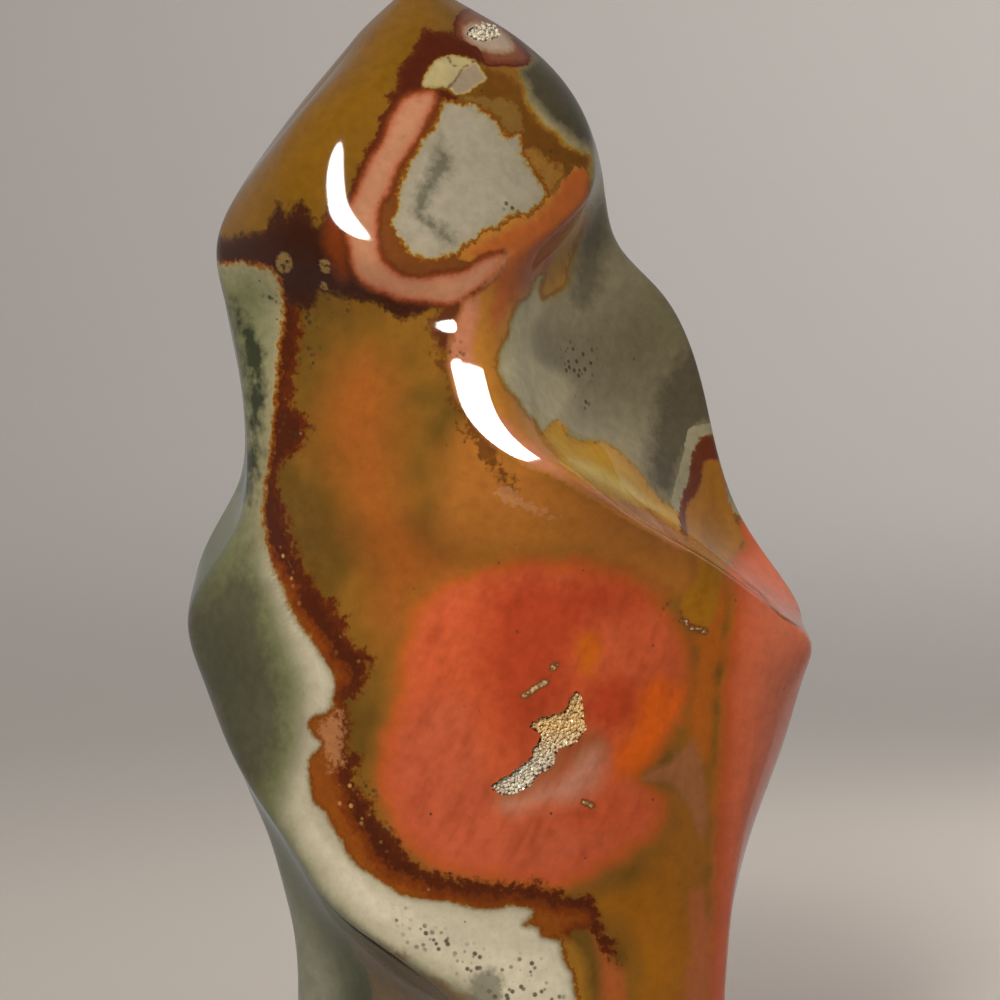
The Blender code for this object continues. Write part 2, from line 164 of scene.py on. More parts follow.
# The two hollows: the outline of each mouth, in x and z where it opens in the front.
DRUSE_OUTLINE = [
    (-1.1, 49.9), (0.6, 48.3), (4.1, 49.4), (6.0, 51.4), (8.3, 53.2), (9.0, 55.2), (11.3, 56.0),
    (13.1, 58.2), (12.8, 60.5), (12.4, 63.6), (11.4, 64.0), (10.4, 62.2), (9.2, 60.9), (6.6, 60.3),
    (4.6, 59.0), (6.2, 57.6), (5.2, 55.6), (4.8, 54.2), (3.6, 53.2), (1.4, 51.6),
]
TIP_DRUSE_OUTLINE = [
    (-5.0, 163.6), (-3.8, 164.5), (-2.2, 164.9), (-0.6, 164.5), (0.1, 163.4), (-0.9, 162.6),
    (-2.4, 162.3), (-3.9, 162.6),
]
HOLLOWS = {"druse_crust": DRUSE_OUTLINE, "tip_druse_crust": TIP_DRUSE_OUTLINE}

# Points along the face that starts at each ridge and round each ridge, closest together on
# the faces that the photograph shows, and the levels up the stone.
FACE_POINTS = {
    "front_right": 50, "back_right": 24, "back_middle": 22, "back_left": 22, "front_left": 74,
    "front_crest": 70,
}
RIDGE_POINTS = {
    "front_right": 8, "back_right": 5, "back_middle": 5, "back_left": 5, "front_left": 6,
    "front_crest": 12,
}
LEVELS = 252

# The rounded tip has one level for this many on the body.
BODY_LEVELS_PER_TIP_LEVEL = 7

# The photograph's viewpoint: how far the camera stands from the middle of what it sees, how
# high that is, how far it looks down, and how wide the picture is there.
VIEW_DISTANCE = 0.85
VIEW_HEIGHT = 0.0915
VIEW_DOWN = math.radians(4)
VIEW_WIDTH = 0.155

# The picture's width in pixels, the camera's film width in millimetres, and how near the
# camera still sees, in metres.
PICTURE = 1000
FILM = 36.0
NEAR_LIMIT = 0.05

# How far past an edge its distance is still told apart, and a depth that no marking
# reaches, in millimetres.
FAR = 30.0
BEYOND_STONE = 90.0

# The steps in which each stretch of a marking's outline is drawn, and a number too small
# to matter, which keeps a division from failing.
EDGE_STEPS = 4
TINY = 1e-9

# Where each marking's edge runs on the front, as (across, down) in thousandths of the
# picture, and how far back into the stone it reaches, as y in millimetres.
MARKINGS = {
    "gold_crown": (60, [
        (150, -60), (470, -60), (440, 10), (420, 60), (390, 110), (365, 165), (350, 215),
        (318, 226), (280, 215), (255, 236), (218, 242), (150, 245),
    ]),
    "ember_glow": (-4, [
        (330, 385), (345, 360), (372, 350), (392, 372), (398, 410), (398, 450), (404, 490),
        (425, 530), (460, 552), (520, 562), (470, 590), (425, 610), (395, 650), (372, 620),
        (368, 580), (352, 530), (338, 490), (325, 450), (322, 415),
    ]),
    "tan_shoulder": (0, [
        (470, 425), (500, 448), (560, 478), (640, 518), (690, 548), (700, 580), (680, 600),
        (650, 580), (610, 560), (560, 550), (500, 552), (452, 540), (440, 500), (448, 455),
    ]),
    "umber_foot": (40, [
        (590, 905), (640, 880), (665, 840), (680, 790), (690, 720), (705, 690), (716, 800),
        (714, 900), (708, 1000), (706, 1120), (640, 1120), (640, 980), (625, 930),
    ]),
    "coral_eye": (2, [
        (560, 558), (592, 562), (620, 574), (645, 588), (668, 606), (685, 630), (694, 655),
        (693, 682), (684, 706), (670, 728), (656, 746), (643, 762), (644, 776), (656, 784),
        (669, 797), (670, 812), (662, 829), (648, 845), (630, 856), (612, 866), (598, 876),
        (580, 884), (555, 889), (520, 887), (490, 883), (455, 875), (430, 865), (412, 851),
        (397, 832), (386, 810), (378, 785), (377, 760), (383, 735), (391, 710), (396, 680),
        (398, 655), (404, 630), (416, 605), (438, 585), (470, 570), (505, 562), (535, 558),
    ]),
    "red_heart": (0, [
        (486, 600), (500, 584), (530, 574), (565, 578), (600, 574), (640, 590), (655, 604),
        (630, 612), (600, 622), (585, 640), (574, 665), (580, 690), (572, 704), (556, 718),
        (540, 732), (520, 746), (503, 738), (492, 712), (480, 680), (480, 640),
    ]),
    "red_cheek": (0, [
        (592, 682), (612, 676), (634, 684), (644, 700), (634, 722), (612, 730), (596, 722),
        (588, 704),
    ]),
    "orange_cheek": (0, [
        (640, 690), (662, 676), (682, 690), (680, 715), (664, 742), (648, 764), (630, 776),
        (612, 770), (616, 748), (630, 728), (636, 710),
    ]),
    "orange_fleck": (0, [(578, 640), (592, 632), (600, 645), (598, 664), (586, 676), (578, 662)]),
    "left_coral": (0, [
        (400, 720), (430, 690), (470, 700), (490, 740), (505, 790), (560, 815), (620, 830),
        (600, 865), (550, 880), (480, 876), (430, 858), (400, 828), (388, 790), (388, 750),
    ]),
    # A painted sheen: a whitish haze laid on the red below the druse, standing for a soft
    # reflection in the polish.
    "painted_red_sheen": (0, [
        (500, 803), (520, 795), (545, 785), (568, 768), (590, 748), (604, 756), (602, 776),
        (588, 794), (566, 802), (540, 808), (515, 812),
    ]),
    "olive_haze": (0, [
        (556, 748), (574, 744), (588, 732), (600, 738), (602, 752), (588, 768), (566, 774),
        (548, 784), (530, 794), (508, 803), (498, 797), (520, 786), (540, 772),
    ]),
    "notch_tan": (0, [
        (700, 740), (684, 748), (668, 762), (650, 770), (640, 778), (650, 784), (668, 784),
        (684, 800), (692, 820), (700, 840), (708, 820),
    ]),
    "red_flank": (60, [
        (742, 522), (744, 545), (734, 556), (728, 575), (733, 600), (727, 640), (722, 680),
        (720, 720), (716, 780), (714, 860), (711, 920), (706, 1000), (704, 1130), (950, 1130),
        (950, 470), (800, 490),
    ]),
    "orange_seam": (10, [
        (714, 560), (722, 575), (726, 600), (722, 640), (716, 680), (712, 720), (708, 760),
        (698, 745), (690, 715), (696, 690), (700, 655), (694, 640), (704, 630), (712, 610),
        (714, 585),
    ]),
    "rust_band": (16, [
        (262, 255), (318, 255), (318, 285), (303, 300), (300, 320), (299, 345), (297, 360),
        (292, 380), (291, 398), (294, 412), (304, 419), (308, 434), (302, 445), (291, 455),
        (283, 463), (279, 478), (279, 495), (283, 511), (286, 520), (291, 535), (297, 554),
        (301, 567), (306, 577), (318, 587), (327, 597), (336, 604), (334, 615), (347, 620),
        (345, 631), (352, 643), (364, 650), (372, 657), (368, 668), (362, 681), (356, 692),
        (347, 700), (346, 711), (350, 722), (348, 736), (347, 748), (353, 754), (362, 758),
        (353, 765), (352, 779), (360, 793), (369, 802), (371, 812), (379, 822), (388, 832),
        (394, 841), (398, 850), (408, 858), (418, 867), (430, 873), (446, 878), (470, 883),
        (500, 887), (520, 887), (537, 885), (543, 891), (556, 893), (564, 897), (580, 898),
        (592, 901), (598, 912), (601, 924), (607, 935), (613, 946), (621, 958), (612, 960),
        (603, 948), (595, 937), (588, 928), (575, 930), (566, 945), (560, 960), (530, 950),
        (440, 930), (370, 905), (325, 860), (298, 800), (290, 740), (300, 690), (285, 640),
        (262, 590), (250, 540), (250, 480), (258, 420), (262, 350), (264, 290),
    ]),
    "copper_band": (14, [
        (250, 520), (268, 540), (281, 560), (292, 577), (300, 590), (303, 606), (313, 624),
        (328, 640), (336, 655), (345, 667), (349, 680), (342, 695), (343, 710), (342, 740),
        (343, 758), (341, 775), (347, 790), (353, 810), (362, 828), (372, 845), (381, 858),
        (396, 872), (412, 880), (432, 886), (462, 892), (492, 896), (520, 897), (540, 901),
        (560, 905), (586, 911), (590, 925), (570, 935), (562, 960), (500, 940), (440, 925),
        (370, 905), (325, 860), (298, 800), (290, 740), (300, 690), (285, 640), (262, 590),
    ]),
    "salmon_knot": (2, [
        (322, 714), (332, 706), (342, 710), (347, 724), (344, 742), (346, 758), (338, 768),
        (326, 764), (318, 750), (316, 732),
    ]),
    "maroon_patch": (12, [
        (100, 240), (218, 240), (235, 237), (255, 235), (268, 231), (272, 222), (276, 211),
        (279, 207), (282, 217), (285, 222), (290, 216), (295, 206), (299, 203), (304, 208),
        (308, 215), (311, 224), (318, 229), (324, 224), (327, 214), (332, 207), (340, 205),
        (350, 215), (372, 262), (400, 285), (440, 292), (448, 302), (430, 307), (417, 313),
        (405, 317), (392, 311), (378, 304), (360, 299), (345, 295), (330, 291), (318, 292),
        (312, 304), (300, 307), (285, 300), (270, 280), (250, 268), (225, 266), (100, 264),
    ]),
    "rust_patch": (0, [
        (328, 214), (336, 212), (346, 228), (350, 250), (352, 274), (345, 282), (334, 272),
        (328, 255), (324, 235),
    ]),
    "maroon_strap": (2, [
        (421, 38), (427, 31), (440, 33), (455, 36), (467, 41), (479, 48), (483, 58), (475, 64),
        (442, 64), (430, 82), (430, 90), (446, 92), (458, 96), (452, 104), (432, 100), (410, 106),
        (400, 125), (386, 155), (374, 175), (364, 200), (352, 215), (350, 190), (358, 172),
        (364, 159), (368, 149), (375, 139), (379, 130), (381, 120), (387, 112), (392, 104),
        (387, 97), (395, 92), (399, 84), (398, 73), (405, 63), (413, 52), (418, 44),
    ]),
    "brown_lip": (-2, [
        (440, 100), (447, 104), (443, 120), (436, 132), (426, 140), (420, 148), (411, 160),
        (405, 172), (403, 182), (400, 205), (397, 224), (402, 238), (412, 250), (424, 256),
        (440, 254), (462, 250), (476, 256), (470, 265), (450, 273), (430, 276), (405, 277),
        (390, 270), (381, 258), (376, 240), (378, 222), (382, 205), (390, 190), (396, 175),
        (402, 160), (412, 148), (419, 136), (426, 122), (433, 110),
    ]),
    "orange_crown": (8, [
        (455, 250), (500, 215), (540, 180), (520, 150), (540, 130), (562, 140), (592, 156),
        (594, 206), (588, 228), (577, 246), (570, 265), (562, 292), (540, 303), (521, 306),
        (509, 330), (498, 352), (497, 370), (506, 388), (523, 405), (536, 424), (546, 440),
        (562, 450), (576, 470), (604, 488), (644, 506), (676, 524), (690, 538), (699, 553),
        (680, 548), (640, 528), (600, 504), (560, 480), (530, 468), (502, 451), (482, 432),
        (468, 415), (458, 400), (451, 380), (448, 360), (449, 340), (454, 318), (462, 302),
        (474, 292), (484, 283), (480, 272), (472, 262),
    ]),
    "orange_sweep": (8, [
        (470, 252), (498, 234), (528, 219), (546, 206), (557, 190), (562, 176), (575, 166),
        (592, 160), (594, 206), (584, 222), (574, 238), (562, 246), (552, 262), (545, 276),
        (538, 271), (530, 285), (516, 300), (503, 318), (495, 330), (491, 312), (495, 292),
        (492, 276), (486, 262),
    ]),
    "gold_tongue": (8, [
        (582, 204), (590, 204), (588, 226), (577, 245), (571, 263), (567, 282), (560, 290),
        (545, 299), (541, 296), (544, 281), (548, 270), (553, 255), (560, 240), (569, 226),
    ]),
    "salmon_rib": (-6, [
        (500, 258), (512, 252), (506, 266), (493, 280), (484, 296), (480, 315), (475, 338),
        (474, 358), (478, 376), (486, 394), (499, 411), (514, 427), (532, 441), (546, 452),
        (562, 470), (602, 492), (652, 516), (692, 544), (699, 553), (680, 548), (640, 526),
        (600, 502), (560, 480), (530, 466), (500, 448), (480, 430), (466, 412), (456, 397),
        (451, 380), (449, 360), (451, 340), (458, 318), (465, 303), (478, 291), (490, 274),
    ]),
    "umber_fringe": (-6, [
        (424, 318), (436, 322), (444, 340), (452, 362), (456, 384), (464, 404), (478, 420),
        (494, 434), (502, 444), (496, 452), (506, 470), (516, 486), (508, 494), (500, 486),
        (492, 466), (478, 452), (470, 436), (458, 420), (450, 400), (444, 376), (440, 352),
        (432, 336),
    ]),
    "pink_chips": (-6, [
        (494, 488), (506, 482), (514, 494), (528, 500), (548, 512), (562, 518), (552, 524),
        (536, 514), (520, 508), (508, 506), (498, 500),
    ]),
    "maroon_crease": (-6, [
        (497, 268), (490, 262), (480, 274), (472, 284), (463, 294), (450, 304), (440, 312),
        (436, 330), (438, 345), (448, 348), (452, 360), (458, 345), (459, 325), (466, 306),
        (480, 291), (488, 280),
    ]),
    "ochre_arch": (6, [
        (482, 62), (490, 68), (500, 70), (512, 76), (522, 86), (526, 100), (533, 113), (545, 128),
        (556, 133), (566, 145), (580, 152), (592, 157), (594, 172), (576, 168), (563, 178),
        (557, 190), (548, 196), (538, 182), (528, 168), (519, 160), (519, 150), (520, 138),
        (508, 138), (498, 128), (492, 116), (478, 112), (466, 106), (458, 98), (468, 92), (480, 84),
        (485, 74),
    ]),
    "gold_arch": (-2, [
        (462, 97), (478, 95), (500, 96), (515, 104), (522, 118), (524, 134), (512, 138), (500, 131),
        (494, 118), (480, 112), (468, 106),
    ]),
    "amber_arch": (-2, [
        (522, 150), (536, 150), (552, 160), (560, 172), (558, 186), (550, 196), (540, 184),
        (530, 170),
    ]),
    "pink_band": (-6, [
        (403, 100), (412, 95), (426, 92), (434, 94), (435, 102), (431, 112), (424, 124), (418, 136),
        (410, 149), (401, 161), (395, 175), (389, 190), (380, 203), (377, 220), (376, 238),
        (380, 255), (388, 268), (400, 276), (420, 278), (445, 275), (465, 271), (478, 263),
        (492, 256), (504, 256), (494, 274), (480, 288), (464, 297), (446, 304), (425, 301),
        (405, 299), (388, 293), (370, 286), (356, 277), (351, 262), (349, 245), (345, 225),
        (350, 205), (358, 190), (362, 178), (367, 168), (376, 152), (384, 138), (390, 122),
        (397, 110),
    ]),
    "window": (-4, [
        (446, 103), (458, 104), (470, 105), (480, 111), (491, 115), (497, 122), (502, 131),
        (510, 136), (520, 135), (522, 142), (521, 151), (524, 161), (531, 168), (538, 178),
        (545, 190), (545, 199), (537, 206), (530, 214), (515, 213), (505, 222), (495, 228),
        (483, 232), (473, 240), (463, 246), (457, 254), (440, 257), (428, 260), (414, 257),
        (408, 250), (404, 243), (397, 236), (393, 222), (397, 210), (399, 195), (402, 180),
        (408, 166), (414, 156), (421, 145), (425, 136), (432, 131), (439, 120), (442, 108),
    ]),
    "window_stain": (-4, [
        (440, 133), (448, 150), (453, 164), (448, 175), (439, 184), (429, 199), (426, 214),
        (438, 222), (456, 238), (446, 244), (431, 231), (419, 223), (412, 211), (414, 202),
        (421, 188), (427, 172), (435, 155),
    ]),
    # The grey flank's grey is its own colour. It is painted darker the further a place lies inside
    # its edge, toward the right, and this stands for the shade across the hollow flank.
    "grey_flank": (60, [
        (519, 69), (523, 86), (526, 100), (533, 113), (545, 128), (556, 133), (566, 145),
        (580, 152), (589, 157), (590, 185), (589, 206), (585, 226), (577, 244), (571, 263),
        (568, 281), (561, 289), (546, 299), (541, 297), (540, 286), (543, 277), (538, 275),
        (533, 285), (528, 297), (520, 303), (515, 312), (510, 325), (508, 336), (500, 350),
        (497, 368), (502, 380), (510, 391), (519, 400), (524, 411), (534, 419), (540, 431),
        (546, 432), (552, 424), (559, 421), (564, 431), (571, 440), (582, 443), (600, 443),
        (615, 450), (627, 461), (640, 475), (650, 490), (660, 500), (672, 508), (679, 514),
        (682, 500), (688, 483), (692, 460), (700, 438), (714, 428), (728, 430), (950, 420),
        (950, -60), (520, -60), (490, 5), (505, 22), (520, 37), (531, 52), (530, 64),
    ]),
    "slate_brow": (60, [
        (530, 60), (522, 72), (528, 92), (540, 108), (556, 122), (574, 138), (592, 146), (605, 150),
        (640, 120), (640, -60), (500, -60), (505, 30),
    ]),
    # Painted shade: a darker grey patch on the right of the grey flank, standing for the shade
    # where the hollow flank turns away.
    "painted_flank_shade": (60, [
        (676, 360), (664, 385), (660, 410), (654, 440), (650, 470), (658, 492), (670, 496),
        (680, 470), (690, 440), (704, 425), (730, 425), (730, 360), (700, 340),
    ]),
    "slate_fold": (60, [
        (584, 235), (578, 262), (574, 285), (580, 305), (594, 296), (600, 270), (604, 240),
        (604, 205), (594, 205),
    ]),
    "ash_tip": (6, [
        (541, 274), (534, 284), (518, 304), (508, 335), (497, 366), (505, 385), (522, 408),
        (540, 434), (554, 424), (570, 400), (566, 380), (535, 360), (532, 330), (545, 305),
    ]),
    "gold_lens": (10, [
        (553, 424), (560, 421), (565, 432), (573, 442), (590, 443), (604, 444), (618, 452),
        (630, 464), (641, 477), (651, 491), (661, 501), (673, 509), (681, 516), (686, 532),
        (670, 523), (655, 513), (640, 506), (620, 500), (600, 490), (585, 480), (570, 470),
        (562, 459), (554, 446), (544, 434),
    ]),
    "cream_lens": (10, [
        (566, 456), (588, 460), (610, 471), (630, 484), (650, 500), (668, 513), (642, 505),
        (616, 492), (592, 480), (574, 470),
    ]),
    "cream_strip": (20, [
        (690, 428), (716, 424), (716, 434), (702, 438), (698, 446), (692, 458), (690, 478),
        (684, 492), (681, 505), (679, 514), (674, 508), (671, 500), (674, 490), (677, 477),
        (681, 463), (685, 448),
    ]),
    "maroon_strip": (20, [
        (701, 438), (712, 435), (740, 436), (745, 450), (724, 462), (712, 465), (705, 463),
        (704, 475), (700, 487), (698, 497), (691, 503), (689, 515), (688, 530), (687, 541),
        (683, 535), (680, 522), (680, 508), (684, 495), (689, 484), (691, 472), (693, 457),
        (696, 447),
    ]),
    "olive_wedge": (14, [
        (706, 463), (720, 463), (735, 470), (745, 495), (748, 520), (740, 545), (730, 558),
        (722, 575), (717, 600), (712, 620), (702, 630), (690, 622), (682, 610), (683, 598),
        (692, 585), (697, 570), (696, 556), (690, 543), (688, 515), (691, 503), (699, 492),
        (704, 478),
    ]),
    "tip_cap": (4, [
        (455, 22), (462, 12), (475, 8), (492, 16), (508, 31), (522, 44), (530, 57), (526, 64),
        (505, 66), (488, 66), (482, 60), (478, 50), (464, 44), (455, 36),
    ]),
    "tip_halo": (2, [
        (463, 30), (472, 23), (488, 24), (504, 33), (514, 44), (510, 52), (494, 52), (478, 48),
        (468, 42),
    ]),
    "straw_patch": (-2, [
        (438, 59), (450, 56), (462, 57), (473, 60), (478, 64), (481, 70), (486, 78), (484, 82),
        (475, 87), (466, 93), (455, 95), (448, 88), (436, 87), (422, 86), (424, 78), (429, 70),
        (433, 63),
    ]),
    "shell_patch": (-2, [
        (476, 61), (468, 68), (460, 72), (457, 80), (449, 86), (446, 92), (456, 99), (470, 96),
        (484, 86), (492, 76), (484, 62),
    ]),
    "grey_cheek": (60, [
        (60, 262), (215, 263), (228, 265), (240, 262), (252, 264), (264, 266), (271, 268),
        (277, 277), (281, 285), (283, 300), (283, 320), (281, 340), (279, 360), (278, 380),
        (276, 400), (274, 420), (271, 445), (268, 470), (266, 490), (264, 510), (265, 530),
        (270, 555), (277, 575), (285, 590), (290, 605), (297, 621), (305, 632), (315, 645),
        (325, 660), (333, 673), (336, 687), (333, 700), (329, 713), (316, 716), (309, 722),
        (312, 734), (322, 742), (319, 749), (311, 757), (309, 768), (311, 788), (315, 803),
        (325, 812), (335, 830), (342, 843), (350, 857), (360, 867), (370, 873), (380, 880),
        (390, 887), (400, 894), (415, 898), (440, 900), (456, 904), (476, 908), (500, 908),
        (512, 906), (533, 910), (530, 918), (523, 925), (537, 927), (542, 936), (550, 938),
        (560, 942), (562, 955), (567, 965), (573, 975), (573, 986), (577, 1000), (581, 1040),
        (584, 1150), (60, 1150),
    ]),
    # Cream of the stone's own, with its palest middle standing partly for a painted sheen on the
    # lower left. Where it ends along the lower-left crease, the greyer stone beyond is partly
    # painted shade of the facet beneath.
    "cream_and_painted_sheen": (2, [
        (266, 556), (285, 580), (300, 610), (325, 645), (345, 680), (340, 715), (325, 750),
        (320, 800), (360, 850), (400, 885), (470, 900), (540, 905), (580, 950), (590, 1010),
        (584, 1150), (490, 1150), (484, 1020), (462, 992), (420, 968), (375, 940), (340, 905),
        (312, 868), (292, 832), (284, 800), (295, 768), (304, 740), (303, 705), (299, 672),
        (292, 642), (282, 612), (270, 582),
    ]),
    # Painted shade: a dark green stripe down the left cheek, standing for the shade and dark
    # reflection of a hollow facet.
    "painted_hollow_shade": (16, [
        (232, 302), (240, 308), (250, 325), (260, 345), (264, 370), (266, 395), (262, 420),
        (259, 450), (256, 480), (250, 500), (240, 500), (244, 470), (247, 430), (248, 400),
        (246, 370), (240, 340), (233, 320),
    ]),
    # Painted shade: dark olive-grey under the crease on the lower left, standing for the shade of
    # the facet below that crease.
    "painted_cheek_shade": (16, [
        (180, 600), (200, 604), (216, 585), (236, 562), (248, 545), (252, 575), (266, 590),
        (266, 625), (272, 655), (280, 690), (285, 725), (275, 760), (262, 790), (240, 780),
        (215, 720), (190, 650),
    ]),
    "pale_foot": (60, [
        (170, 790), (240, 790), (262, 822), (284, 866), (306, 900), (330, 940), (345, 1000),
        (345, 1150), (170, 1150),
    ]),
    "brown_foot": (0, [
        (352, 926), (372, 940), (410, 962), (450, 985), (482, 1010), (490, 1150), (335, 1150),
        (340, 990), (344, 955),
    ]),
    "ash_foot": (0, [
        (470, 975), (492, 968), (506, 985), (500, 1010), (505, 1060), (480, 1060), (470, 1010),
    ]),
    "red_foot": (0, [
        (592, 930), (602, 935), (612, 955), (622, 975), (626, 1000), (630, 1120), (600, 1120),
        (602, 1000), (600, 960),
    ]),
    "olive_foot": (0, [
        (562, 940), (575, 945), (585, 965), (588, 1000), (592, 1120), (570, 1120), (566, 1000),
        (560, 960),
    ]),
    "rose_foot": (6, [
        (690, 900), (702, 890), (708, 930), (704, 1000), (700, 1120), (680, 1120), (684, 1000),
        (692, 950),
    ]),
}

# The markings that only the back shows, as x and z in millimetres, and how far forward
# they reach. The photograph doesn't show the back, so these are of the stone's own kind.
BACK_MARKINGS = {
    "back_grey": (8, [
        (-60, 127), (-41, 130), (-28, 122), (-15, 128), (-2, 138), (8, 150), (14, 166), (60, 166),
        (60, 92), (36, 88), (24, 96), (13, 92), (2, 99), (-8, 93), (-17, 97), (-26, 84), (-31, 66),
        (-26, 48), (-13, 36), (2, 30), (13, 21), (19, 8), (22, -10), (-60, -10),
    ]),
    "back_eye": (8, [
        (14, 78), (26, 74), (34, 62), (33, 48), (24, 38), (12, 37), (2, 43), (-6, 54), (-5, 66),
        (3, 75),
    ]),
    "back_heart": (8, [(12, 66), (20, 62), (22, 54), (15, 48), (6, 52), (4, 60)]),
    "back_slate": (8, [
        (-42, 112), (-30, 104), (-20, 108), (-10, 116), (-18, 120), (-30, 116), (-40, 122),
    ]),
}

